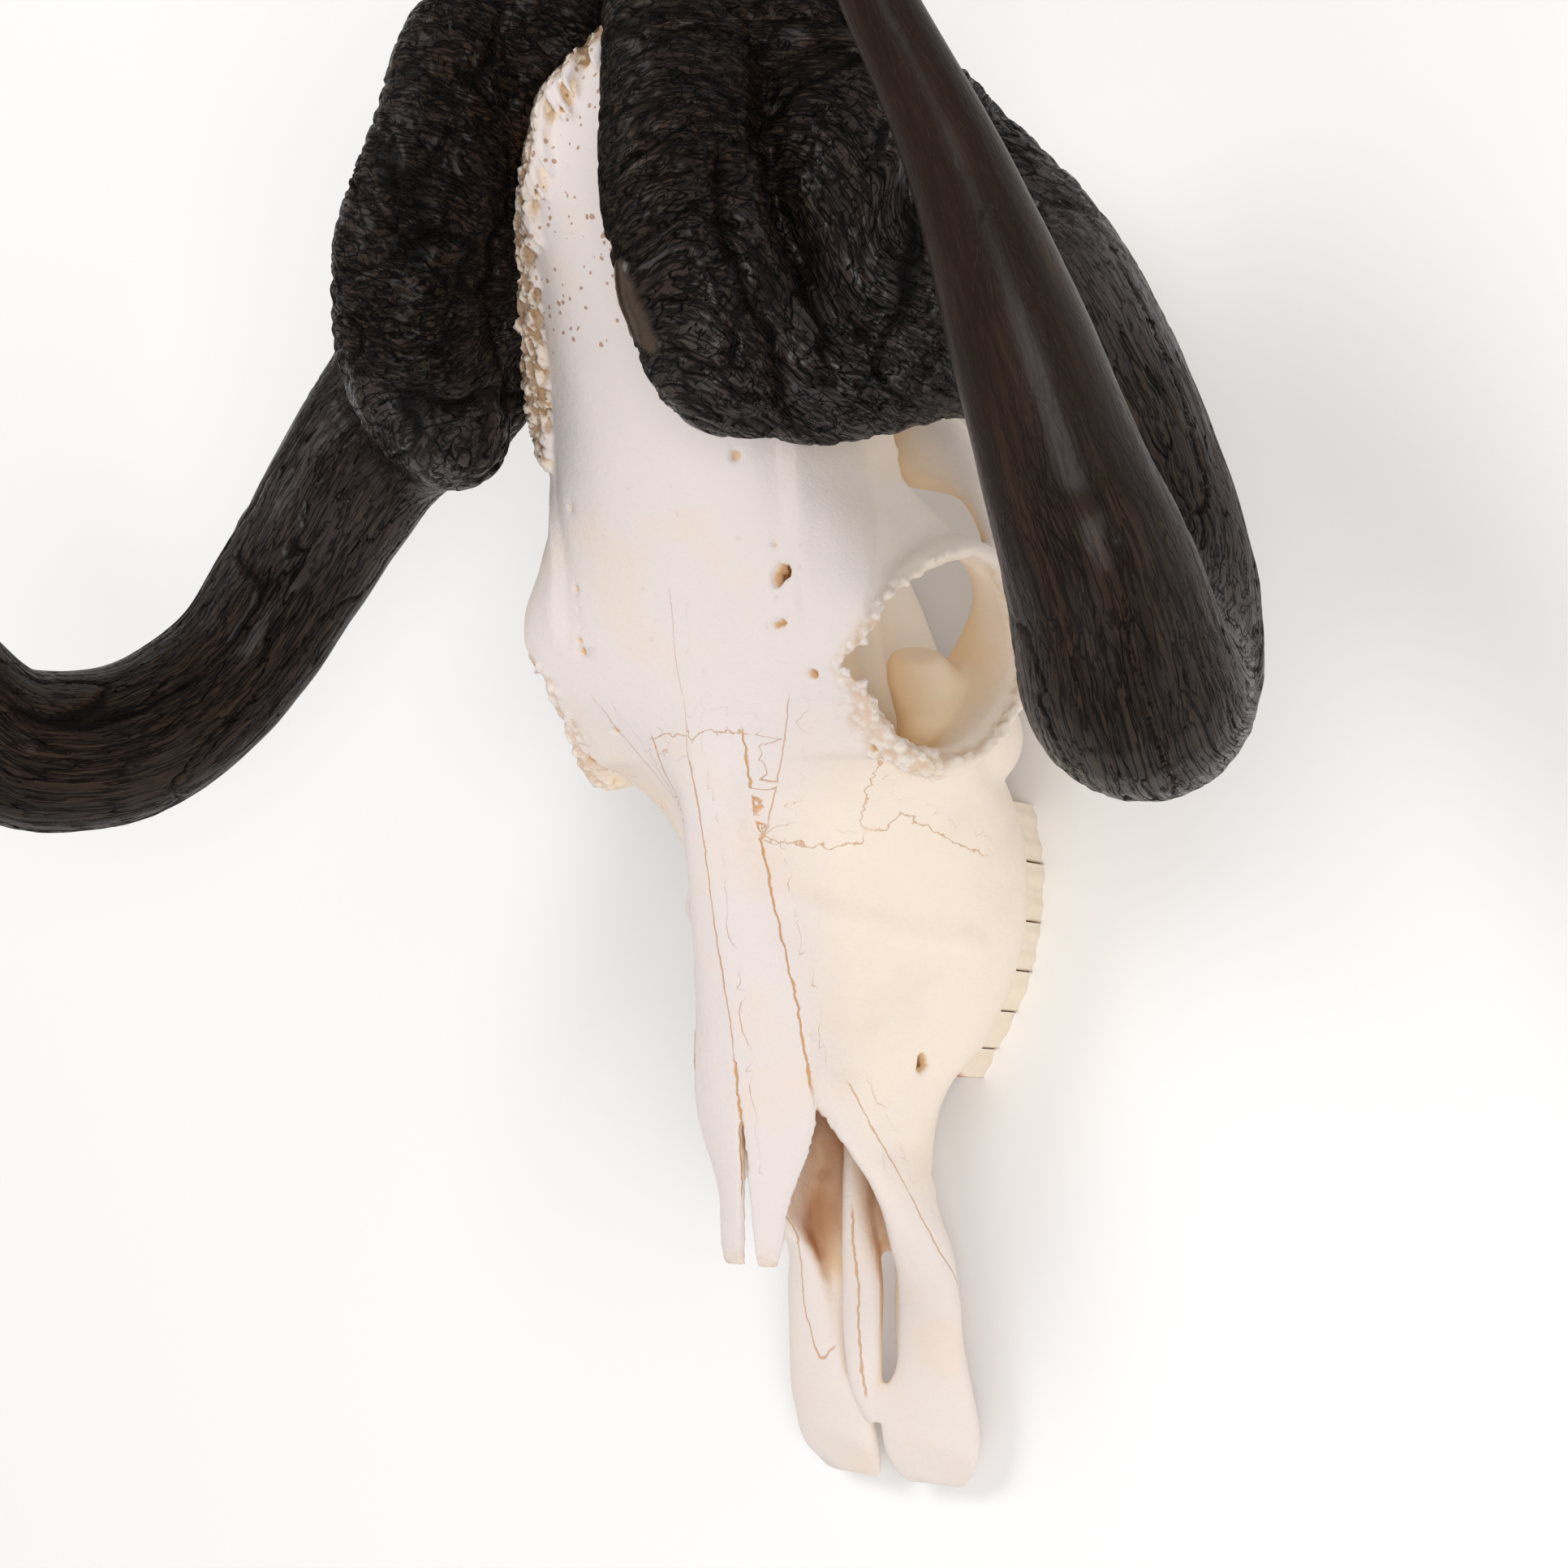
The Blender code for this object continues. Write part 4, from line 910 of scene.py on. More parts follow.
def fibrous_horn(settings):
    """Dry horn keratin: near black, split along its growth, in blocks on the boss and smooth further out,
    with painted shade in its cracks and a painted sheen and glints on the boss.
    """
    made, add = new_material("fibrous horn")
    growth = add("Attribute:growth", out="Vector")
    names = ("boss", "smooth", "cleft", "amber", "bare")
    boss, smooth_part, cleft, amber, bare = (add("Attribute:" + name, out="Fac") for name in names)
    wander = drawn_noise(add, growth, (16.67, 9.09, 9.09), out="Color", Detail=2.0)
    bent = add("VectorMath:MULTIPLY_ADD", wander, (4 * MM, 3.5 * MM, 3.5 * MM), growth)

    # Lamellae of the boss, 2 mm apart, with wider cracks along and across them.
    lamella = crack_lines(add, bent, (9.09, 1.852, 8.333), 0.075)
    plate = crack_lines(add, bent, (18.18, 5.0, 16.67), 0.03)
    cross = crack_lines(add, bent, (3.846, 9.09, 4.545), 0.02)
    boss_crack = add("Math:MAXIMUM", add("Math:MULTIPLY", lamella, 0.8), add("Math:MAXIMUM", plate, cross))
    # Splits of the shaft: under 2 mm apart and some 30 mm long, with a wider one now and then.
    strand = crack_lines(add, bent, (29.41, 1.5625, 1.5625), 0.06)
    split = crack_lines(add, bent, (71.43, 8.333, 8.333), 0.014)
    shaft_crack = add("Math:MAXIMUM", add("Math:MULTIPLY", strand, 0.75), split)
    fibrous = add("Math:SUBTRACT", 1.0, add("Math:MAXIMUM", smooth_part, amber), use_clamp=True)
    crack = add("Math:MULTIPLY", add("Mix:FLOAT", boss, shaft_crack, boss_crack),
                add("Math:MULTIPLY_ADD", fibrous, 0.93, 0.05))
    # Painted shade: the cracks and the carved clefts are painted near black.
    crack_shade = add("Math:MAXIMUM", crack, cleft)

    fibre = drawn_noise(add, growth, (11.11, 0.9091, 0.9091), Detail=4.0, Roughness=0.65)
    streak = drawn_noise(add, growth, (111.1, 6.667, 6.667), Detail=4.0)
    patch = add("TexNoise", growth, Scale=scale_of(45.45), Detail=2.0)
    lot = add("Mix:FLOAT", boss, block_number(add, bent, (26.0, 1.7, 1.7)),
              block_number(add, bent, (9.0, 2.4, 2.4)))
    patchy = add("MapRange:SMOOTHSTEP", patch, 0.35, 0.65)
    smooth_colour = add("Mix:RGBA", add("MapRange:SMOOTHSTEP", streak, 0.5, 0.8), HORN_SMOOTH, HORN_STREAK)
    colour = settings.horn_colour
    for share, strength, tint in (
            (add("MapRange:SMOOTHSTEP", streak, 0.46, 0.68), patchy, HORN_BROWN),
            (add("Math:SUBTRACT", 1.0, boss, use_clamp=True), 0.6, HORN_SHAFT),
            # Lighter blocks: a random tone from block to block, partly a painted highlight on the plates.
            (add("MapRange:SMOOTHSTEP", lot, 0.45, 1.0), 0.45, BLOCK_TONE_AND_HIGHLIGHT),
            # Painted sheen: a lighter grey where a highlight falls on the boss.
            (bare, 0.55, HORN_PAINTED_SHEEN),
            # Painted glints on the raised fibres.
            (add("MapRange:SMOOTHSTEP", fibre, 0.5, 0.72), 0.45, FIBRE_PAINTED_GLINT),
            (smooth_part, 0.8, smooth_colour),
            (amber, 1.0, AMBER_HORN),
            (crack_shade, 1.0, CRACK_PAINTED_SHADE),
    ):
        colour = add("Mix:RGBA", add("Math:MULTIPLY", share, strength), colour, tint)

    sheen = add("Mix:FLOAT", smooth_part, add("Math:MULTIPLY_ADD", lot, 0.2, 0.28), 0.34)
    sheen = add("Math:ADD", sheen, add("Math:MULTIPLY_ADD", fibre, 0.3, -0.15), use_clamp=True)
    sheen = add("Math:MAXIMUM", sheen, add("Math:MULTIPLY", crack, 0.95))
    sheen = add("Mix:FLOAT", amber, sheen, 0.2)
    height = add("Math:MULTIPLY", fibre, add("Math:MULTIPLY_ADD", fibrous, 0.85, 0.12))
    height = add("Math:MULTIPLY_ADD", lot, add("Math:MULTIPLY", fibrous, 0.4), height)
    height = add("Math:MULTIPLY_ADD", crack, -1.3, height)
    bump = add("Bump", Strength=1.0, Distance=1.5 * MM, Height=height)
    # A faint polish on what stands up between the cracks.
    polish = add("Math:MULTIPLY", add("Math:MULTIPLY_ADD", bare, 0.45, 0.16),
                 add("Math:SUBTRACT", 1.0, crack_shade, use_clamp=True))
    shader = add("BsdfPrincipled", Base_Color=colour, Roughness=sheen, Normal=bump, IOR=1.54,
                 Specular_IOR_Level=0.07, Coat_Weight=add("Math:MAXIMUM", polish, amber), Coat_Roughness=0.24)
    add("OutputMaterial", shader)
    return made


def worn_tooth(settings):
    """Enamel over cement and dentine: glossy cream ridges with brown stains in the clefts, and painted shade
    where one tooth meets the next.
    """
    made, add = new_material("worn tooth enamel")
    where = add("TexCoord", out="Object")
    noise = add("TexNoise", where, Scale=scale_of(3.333), Detail=3.0)
    # Brown in the clefts, and as painted shade where the teeth meet.
    stain_and_shade = add("Math:MULTIPLY_ADD", noise, 0.2, add("Attribute:cleft", out="Fac"))
    colour = add("Mix:RGBA", add("Math:MULTIPLY", noise, 0.35), settings.tooth_colour, TOOTH_CEMENT)
    colour = add("Mix:RGBA", add("MapRange:SMOOTHSTEP", stain_and_shade, 0.4, 0.95), colour, TOOTH_STAIN_AND_SHADE)
    drawn_out = drawn_noise(add, where, (2.0, 2.0, 16.67), Detail=2.0)
    bump = add("Bump", Strength=0.35, Distance=0.4 * MM, Height=drawn_out)
    shader = add("BsdfPrincipled", Base_Color=colour, Normal=bump, Roughness=0.38, IOR=1.62)
    add("OutputMaterial", shader)
    return made


def matt_floor():
    """Matt white paint, which takes only soft shadows."""
    made, add = new_material("matt white floor")
    add("OutputMaterial", add("BsdfPrincipled", Base_Color=FLOOR_PALE, Roughness=0.9))
    return made


def add_frontal(bm):
    """The frontal plate: its upper surface, and an under side that follows it at the stated thickness."""
    rings = []
    flat = [(back, mid, edge, *[v for p in top for v in p]) for back, top, mid, edge in FRONTAL]
    for row in smooth_run(flat, 5):
        back, mid, edge, values = row[0], row[1], row[2], row[3:]
        top = smooth_run([(values[i], values[i + 1]) for i in range(0, len(values), 2)], 5)
        width = top[-1][0]
        under = [(x * 0.97, up - mid - (edge - mid) * (x / width) ** 1.5) for x, up in reversed(top)]
        half = [(x, back, up) for x, up in (*top, *under)]
        rings.append(half + [(-x, b, up) for x, b, up in reversed(half[1:-1])])
    add_loft(bm, rings)


def add_orbit_rim(bm, side):
    """A closed ring of bone around the orbit, whose wall runs in towards the midline."""
    run = smooth_run((*ORBIT_RIM, ORBIT_RIM[0]), 5)[:-1]
    rings = []
    centre = Vector(ORBIT_CENTRE)
    for i, row in enumerate(run):
        point, thick, deep = Vector(row[:3]), row[3], row[4]
        along = (Vector(run[(i + 1) % len(run)][:3]) - Vector(run[i - 1][:3])).normalized()
        outward = (point - centre).normalized()
        inward = along.cross(outward).normalized()
        if inward.x > 0:
            inward.negate()
        middle = point + inward * (deep / 2 - thick)
        rings.append(oval(middle, outward, thick, inward, deep / 2, 20, side))
    add_loft(bm, rings, closed=True)


def add_postorbital(bm, side):
    """The bar behind the orbit, a flat plate between its near and its far edge."""
    rings = []
    for row in smooth_run([(*near, *far) for near, far in POSTORBITAL], 7):
        near, far = Vector(row[:3]), Vector(row[3:])
        middle, reach = (near + far) / 2, (far - near) / 2
        face = reach.cross(Vector((0, 0.3, 1))).cross(reach).normalized()
        outward = (face + Vector((1, 0, 0))).normalized()
        along = reach.normalized()
        flat = (outward - along * outward.dot(along)).normalized() * POSTORBITAL_THICK / 2
        rings.append(oval(middle - flat, reach, 1, flat, 1, 20, side))
    add_loft(bm, rings)


def add_premaxilla(bm, side):
    """The long bone along one side of the nose, an oval that leans over on its way."""
    rings = []
    for x, back, up, tall, thick, lean in smooth_run(PREMAXILLA, 6):
        angle = math.radians(lean)
        top = Vector((-math.sin(angle), 0, math.cos(angle)))
        flat = Vector((math.cos(angle), 0, math.sin(angle)))
        ring = []
        for k in range(28):
            turn = 2 * math.pi * k / 28
            spot = Vector((x, back, up)) + top * math.sin(turn) * tall + flat * math.cos(turn) * thick
            ring.append(both_sides(side, tuple(spot)))
        rings.append(ring)
    add_loft(bm, rings)


def add_nasal(bm, side):
    """The free end of a nasal bone, a thin vault with a blunt tip."""
    rings = []
    for back, inner, outer, ridge, edge in smooth_run(NASALS, 8):
        tip = min(max((108 - back) / 32, 0.0), 1.0)
        broad = 1 + (NASAL_BROAD[side] - 1) * tip
        top = []
        for k in range(13):
            x = inner + (outer * broad - inner) * k / 12
            top.append((x * side + NASAL_LEAN[side] * tip, back, ridge + (edge - ridge) * (x / outer) ** 2))
        thick = NASAL_THICK * min(1.0, 0.8 + (back - NASALS[0][0]) / 40)
        rings.append(top + [(x, b, up - thick) for x, b, up in reversed(top)])
    add_loft(bm, rings)


def add_cranial_base(bm, side):
    """Condyle, paroccipital process, ear capsules, pterygoid, and what swells under the orbit."""
    add_ball(bm, *CONDYLE, side)
    add_tube(bm, PAROCCIPITAL, upright=(0, 1, 0), side=side)
    for capsule in EAR_CAPSULES:
        add_ball(bm, *capsule, side)
    add_tube(bm, PTERYGOID, side=side)
    add_ball(bm, *CHEEK_SWELLING, side)
    add_tube(bm, ORBIT_LOBE, upright=(0, 1, 0), side=side)


def add_orbit_hollow(bm, side):
    """The inside of the orbit. Its edge is toothed over the brow, as grown bone is there."""
    edge = np.array(smooth_run((*ORBIT_EDGE, ORBIT_EDGE[0]), 7)[:-1])
    centre = np.array(ORBIT_CENTRE)
    count = len(edge)
    step = np.linalg.norm(edge - np.roll(edge, 1, axis=0), axis=1)
    run = np.cumsum(step)
    tooth = np.abs(np.sin(run * 0.88 + 1.7 * np.sin(run * 0.31) + side)) ** 0.7
    chance = lattice(
        np.floor(run / 3.57).astype(np.int64) + 50, np.full(count, side + 3), np.zeros(count, np.int64))
    brow = np.zeros(count)
    brow[7 * 2:7 * 13] = 1
    brow = np.convolve(np.concatenate((brow[-8:], brow, brow[:8])), np.ones(17) / 17, "same")[8:-8]
    drawn_in = brow * tooth * (1.0 + 4.2 * chance) + 0.25 * np.sin(run * 1.9) + 0.2 * np.sin(run * 3.1)
    inward = centre - edge
    inward /= np.linalg.norm(inward, axis=1)[:, None]
    toothed = edge + inward * (drawn_in - 0.8)[:, None]
    rings = []
    for is_toothed, size, shift in ORBIT_SECTIONS:
        spots = centre + ((toothed if is_toothed else edge) - centre) * size + np.array(shift)
        rings.append([both_sides(side, tuple(spot)) for spot in spots])
    add_loft(bm, rings)


def roof_height(x, back):
    """Height of the frontal plate's upper surface."""
    rows = [(row[0], float(np.interp(abs(x), *zip(*row[1])))) for row in FRONTAL]
    return float(np.interp(back, *zip(*rows)))


def add_spikes(bm):
    """The ragged ridge of spongy bone along the right horn's seat, and the spikes that hang from it."""
    add_tube(bm, SPONGY_RIDGE, per_span=6, sides=16)
    ridge = smooth_run(SPONGY_RIDGE, 7)
    for i, (x, back, _, _, _) in list(enumerate(ridge))[::2]:
        chance = [float(lattice(np.int64(i * 3 + k), np.int64(11), np.int64(k))) for k in range(5)]
        upper = min(max((back - 396) / 26, 0.0), 1.0)
        long = (4 + 3 * chance[0]) * (1 - upper) + (7 + 9 * chance[0] ** 1.5) * upper
        heading = Vector((0.5 * chance[1] + 0.05, -0.95 + 0.3 * chance[2])).normalized()
        start = Vector((x + 2.5 * (chance[4] - 0.1), back))
        rows = []
        for share, wide in ((0, 2.2), (0.3, 1.7), (0.65, 1.25), (1, 0.7)):
            spot = start + heading * (3 + long) * share
            up = roof_height(*spot) + 2.4 + 2.4 * math.sin(share * 2.6) - 1.2 * share
            rows.append((*spot, up, wide, wide))
        add_tube(bm, rows, per_span=2, sides=8)


def flatten(points, spot, facing, near):
    """Brings the points past a plane back onto it, around one place."""
    facing = np.array(facing) / np.linalg.norm(facing)
    away = points - np.array(spot)
    past = np.maximum(away @ facing, 0) * (np.linalg.norm(away, axis=1) < near)
    return points - facing * past[:, None]


def flat_base(made):
    """Brings what the skull stands on down to the floor and no further."""
    points, _ = points_of(made)
    points[:, 2] = np.maximum(points[:, 2], 0.0)
    set_points(made, points)


def seat_distance(points):
    """Millimetres from each point of the bone to a horn sheath, where the horns sit."""
    x, back, up = points.T
    seat = np.full(len(points), 30.0)
    for name, sign in (("horn_sheath_left", 1), ("horn_sheath_right", -1)):
        picked = (x * sign > -14) & (back > 318) & (up > 110)
        seat = np.minimum(seat, distance_to(tree_of(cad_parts[name]), points, picked, 14))
    return seat


def drill_holes(points, normals):
    """Sinks the holes and pits into the bone, and gives how deep inside one each point lies."""
    hollow = np.zeros(len(points))
    uneven = 1 + 0.28 * cloud(points, 1.8, 4)
    holes = [(*hole, side) for hole in HOLES_BOTH for side in (1, -1)]
    holes += [(*hole, 1) for hole in HOLES_LEFT + HOLES_RIGHT]
    for x, back, up, radius, depth, side in holes:
        centre = np.array((x * side, back, up))
        picked = np.flatnonzero((np.abs(points - centre) < HOLE_REACH).all(axis=1))
        if not len(picked):
            continue
        first = picked[np.argmin(((points[picked] - centre) ** 2).sum(axis=1))]
        axis = normals[first]
        away = points[picked] - points[first]
        flat = np.sqrt(np.maximum((away ** 2).sum(axis=1) - (away @ axis) ** 2, 0)) * uneven[picked]
        share = 1 - ramp(flat, radius * 0.6, radius * 1.15)
        points[picked] -= axis * (depth * share)[:, None]
        hollow[picked] = np.maximum(hollow[picked], share * min(depth / 3, 1))
    return hollow


def carve_bone(made):
    """Relief of the bone: uneven surface, granular orbit rims, spongy seats of the horns, holes and pits.

    Heights and the sizes of lumps and grains are in millimetres.
    """
    points, normals = points_of(made)
    for side in (1, -1):
        points = flatten(points, (20 * side, 5, 14), (0.12 * side, -0.62, 0.78), 24)
    x, back, up = points.T
    side = np.abs(x)
    half = points.copy()
    half[:, 0] = side
    spongy = (1 - ramp(seat_distance(points), 1.5, 6)) * ramp(up, 118, 135) * 0.3
    _, ridge = nearest_of(points, np.array(smooth_run(SPONGY_RIDGE, 5))[:, :3])
    spongy = np.maximum(spongy, 1 - ramp(ridge, 5.5, 10))
    edge = np.array(smooth_run((*ORBIT_EDGE, ORBIT_EDGE[0]), 4))
    _, rim = nearest_of(half, edge)
    _, corner_far = nearest_of(half, np.array(ROUGH_CORNER))
    outside = ramp(side * 0.5 - back * 0.35 + up * 0.35, -22, -10)
    rough = np.maximum(1 - ramp(rim, 2.0, 6.0), 0.9 * (1 - ramp(corner_far, 6, 13)))
    moved = 0.3 * cloud(points, 16) + 0.12 * cloud(points, 6, 3)
    near, _, number = cells(points, 3.4, 1)
    nodule = np.clip(0.72 - near, 0, 1) * (0.5 + number)
    grains = rough * (2.6 * nodule - 0.6 + 0.45 * cloud(points, 2.2, 5))
    near, second, number = cells(points, (3.6, 5.5, 4.0), 2)
    ridged = 1 - np.abs(cloud(points, (2.6, 4.5, 3.0), 7))
    grains += spongy * (
        2.2 * (ridged - 0.7) + 2.0 * np.clip(0.5 - near, 0, 1) * number - 1.1 * (second - near < 0.12))
    moved += grains
    groove = np.array(smooth_run(BROW_GROOVE, 6))
    index, groove_far = nearest_of(half, groove)
    beside = side - groove[index, 0]
    moved += np.where(beside > 0, 0.9, -0.8) * ramp(np.abs(beside), 0, 2.5) * (1 - ramp(groove_far, 3, 11))
    crest = np.array(smooth_run(CHEEK_CREST, 6))
    index, crest_far = nearest_of(half, crest)
    behind = back - crest[index, 1]
    moved += 2.1 * (1 - ramp(crest_far, 2, 13)) * ramp(behind, -2.5, 1.5) * (1 - ramp(behind, 3, 14))
    moved = np.where(up < 3, 0, moved)
    hollow = drill_holes(points, normals)
    set_points(made, points + normals * moved[:, None])
    porous_tip = (1 - ramp(back, 75, 80)) * (up > 80)
    # The last number is how high each grain stands, by which the material paints shade between the grains.
    return spongy, np.maximum(rough * outside, 0.9 * porous_tip), hollow, np.clip(0.5 + grains / 2.2, 0, 1)


def describe_bone(made, tree):
    """Stores on the finished bone what its material reads."""
    points, normals = points_of(made)
    x, back, up = points.T
    # How enclosed each place is, by which the material paints light and shade in the hollows.
    store(made, recess=spread(made, recess_values(tree, points, normals), 3))
    roof = np.interp(back, *zip(*ROOF))
    cheek = np.clip((roof - up - 5) / 24, 0, 1) * (1 - 0.4 * ramp(back, 280, 330))
    store(made, cream=cheek * (0.3 + 0.7 * ramp(back, 70, 150)))
    for name, seams in (("seam_along", SUTURES_ALONG), ("seam_across", SUTURES_ACROSS)):
        offset, shown = seam_values(points, normals, seams)
        store(made, **{name: offset, name + "_share": shown})
    pores = ramp(back, 352, 376) * ramp(up, 165, 175) * ramp(-np.abs(x), -60, -40)
    pores = np.maximum(pores, 0.06 * ramp(up, 120, 130) * (back < 330))
    nose = (1 - ramp(back, 190, 225)) * (1 - ramp(np.abs(x), 26, 34)) * ramp(up, 24, 34)
    store(made, pores=pores, nose=nose)


class SKULL_OT_bone(bpy.types.Operator):
    """Builds the bone of the skull from its outlines, carves its relief and colours it with its stains, and
    with painted light and shade in its hollows
    """

    bl_idname = "skull.bone"
    bl_label = "Bone"

    def execute(self, context):
        settings = context.scene.skull_settings
        bm = bmesh.new()
        add_loft(bm, half_outlines(MUZZLE, 6))
        add_loft(bm, half_outlines(BRAINCASE, 6))
        add_frontal(bm)
        add_tube(bm, [(0, *row) for row in PALATE])
        for side in (1, -1):
            add_orbit_rim(bm, side)
            add_tube(bm, ARCH, side=side)
            add_postorbital(bm, side)
            add_premaxilla(bm, side)
            add_tube(bm, PREMAXILLA_SHELF, side=side)
            add_cranial_base(bm, side)
            add_tube(bm, HORN_CORE, side=side)
        bone = object_of(bm, "bone_with_horn_cores")
        fuse(bone, settings.bone_grain * 1.3, 11)

        for name, add_shape, shape in (
                ("nasal cavity", add_loft, half_outlines(NASAL_CAVITY, 6)),
                ("left orbit", add_orbit_hollow, 1),
                ("right orbit", add_orbit_hollow, -1),
                ("foramen magnum", add_tube, FORAMEN_MAGNUM),
        ):
            bm = bmesh.new()
            add_shape(bm, shape)
            cut(bone, object_of(bm, name + " cutter"))
        bm = bmesh.new()
        bm.from_mesh(bone.data)
        add_tube(bm, [(0, *row) for row in SEPTUM])
        for side in (1, -1):
            add_nasal(bm, side)
        add_spikes(bm)
        bmesh.ops.recalc_face_normals(bm, faces=bm.faces)
        bm.to_mesh(bone.data)
        bm.free()
        fuse(bone, settings.bone_grain, 3)
        keep_largest(bone)
        flat_base(bone)
        spongy, rough, hollow, crumb = carve_bone(bone)
        store(bone, spongy=spread(bone, spongy, 2), rough=spread(bone, rough, 2), hollow=hollow, crumb=crumb)
        keep_inside(bone)
        thin_out(bone, settings.most_triangles)
        describe_bone(bone, coarse_tree(bone, 0.12))
        bone.data.shade_smooth()
        bone.data.materials.clear()
        bone.data.materials.append(bleached_bone(settings))
        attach(bone, "root")
        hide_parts("skull")
        return {"FINISHED"}


def unbend(points, side):
    """Where each point lies in the horn if it were pulled straight, along its growth and across it.

    On the boss the second number runs along the lobe, because the lamellae cross that at right angles.
    """
    grown = along_line(points, side, [*GROWTH_START, *[row[:3] for row in HORN]])
    lobe = along_line(points, side, [row[:3] for row in BOSS_LOBE[1:]])
    share = 1 - ramp(grown[:, 0], 105, 165)
    grown[:, 1] = grown[:, 1] * (1 - share) + (lobe[:, 0] - LOBE_START) * share
    return grown


def along_line(points, side, stations):
    """Distance along a line, and across it two ways, for each point."""
    line = np.array(smooth_run(stations, 12))
    step = np.linalg.norm(np.diff(line, axis=0), axis=1)
    along = np.concatenate(([0], np.cumsum(step)))
    tangent = np.gradient(line, axis=0)
    tangent /= np.linalg.norm(tangent, axis=1)[:, None]
    high = np.array((0.0, 0.0, 1.0))
    across_rows, high_rows = [], []
    for direction in tangent:
        across = np.cross(direction, high)
        across /= np.linalg.norm(across)
        high = np.cross(across, direction)
        across_rows.append(across)
        high_rows.append(high)
    across_rows, high_rows = np.array(across_rows), np.array(high_rows)
    half = points * (side, 1, 1)
    result = np.empty((len(points), 3))
    for start in range(0, len(points), 20000):
        part = half[start:start + 20000]
        away = part[:, None, :] - line[None, :, :]
        distance = np.sqrt((away ** 2).sum(axis=2))
        weight = np.exp(-(distance - distance.min(axis=1)[:, None]) / 3.0)
        weight /= weight.sum(axis=1)[:, None]
        lengthwise = along[None, :] + (away * tangent[None]).sum(axis=2)
        result[start:start + 20000, 0] = (weight * lengthwise).sum(axis=1)
        result[start:start + 20000, 1] = (weight * (away * across_rows[None]).sum(axis=2)).sum(axis=1)
        result[start:start + 20000, 2] = (weight * (away * high_rows[None]).sum(axis=2)).sum(axis=1)
    return result


def horn_zones(grown):
    """How much of the boss and of the smooth outer horn each point belongs to."""
    along = grown[:, 0]
    boss = 1 - ramp(along, 175, 240)
    smooth_part = ramp(along, 400, 500)
    return boss, smooth_part


def drift(points, sizes, seed, reach):
    """Soft shifts of each point in three directions."""
    return np.stack([cloud(points, size, seed + i) for i, size in enumerate(sizes)], axis=1) * reach


def valleys(grown, size, seed, width):
    """Valleys where soft noise passes its middle, drawn out by the three sizes."""
    return 1 - ramp(np.abs(cloud(grown, size, seed)), 0, width)


def amber_share(points, side):
    """Where the left boss is worn to smooth olive brown horn."""
    share = np.zeros(len(points))
    for spot, size in AMBER_SPOTS if side > 0 else ():
        away = np.linalg.norm(points - np.array(spot), axis=1)
        share = np.maximum(share, 1 - ramp(away, size * 0.65, size))
    return share


def carve_horn(made, side):
    """Relief of a sheath: plates and cracks on the boss, long splits and ridges further out.

    Heights and the three sizes of each pattern are in millimetres, the sizes along the growth and across it.
    """
    points, normals = points_of(made)
    grown = unbend(points, side)
    boss, smooth_part = horn_zones(grown)
    wander = grown + drift(points, (14, 12, 12), 4, (4, 1.6, 1.6))
    wander += drift(points, (5, 4, 4), 14, (1.2, 0.5, 0.5))
    lamella = valleys(wander, (16, 3.2, 14), side + 3, 0.4)
    furrow = valleys(wander, (30, 9, 26), side + 5, 0.17)
    across = valleys(wander, (5, 26, 9), side + 12, 0.14)
    broad = valleys(wander, (60, 26, 26), side + 8, 0.06)
    folds = np.sin(wander[:, 1] / 1.05 + 2.2 * cloud(points, 18, 2)) * np.sin(wander[:, 2] / 1.05)
    moved = boss * (0.3 - 0.75 * lamella - 1.0 * furrow - 0.6 * across - 1.6 * broad + 0.12 * folds)
    strand = valleys(wander, (70, 3.6, 3.6), side + 6, 0.3)
    gash = valleys(wander, (90, 16, 16), side + 9, 0.05)
    shaft = (1 - boss) * (1 - smooth_part)
    moved += shaft * (-0.4 * strand - 0.9 * gash + 0.1 * folds)
    moved += (1 - smooth_part) * 0.5 * cloud(points, 15, 8)
    moved += smooth_part * 0.12 * cloud(points, 12, 3)
    thin_end = ramp(grown[:, 0], 640, 720)
    moved *= 1 - 0.8 * thin_end
    rough_part = 1 - amber_share(points, side)
    moved *= rough_part
    # Where the furrows, splits and valleys lie comes back, for the material to paint shade in them.
    cleft = np.maximum(np.maximum(0.85 * furrow, broad) * boss, np.maximum(gash, 0.4 * strand) * shaft)
    if side > 0:
        for corner, height, reach in LOBE_CORNERS:
            moved += height * (1 - ramp(np.linalg.norm(points - np.array(corner), axis=1), 4, reach))
        _, far = nearest_of(points, np.array(smooth_run(LOBE_VALLEY, 6)))
        moved -= 4.5 * (1 - ramp(far, 0, 13)) + 2.0 * (1 - ramp(far, 0, 3.5))
        cleft = np.maximum(cleft, 0.9 * (1 - ramp(far, 0.5, 4)))
    set_points(made, points + normals * moved[:, None])
    return ramp(cleft, 0.4, 0.95) * 0.85 * rough_part


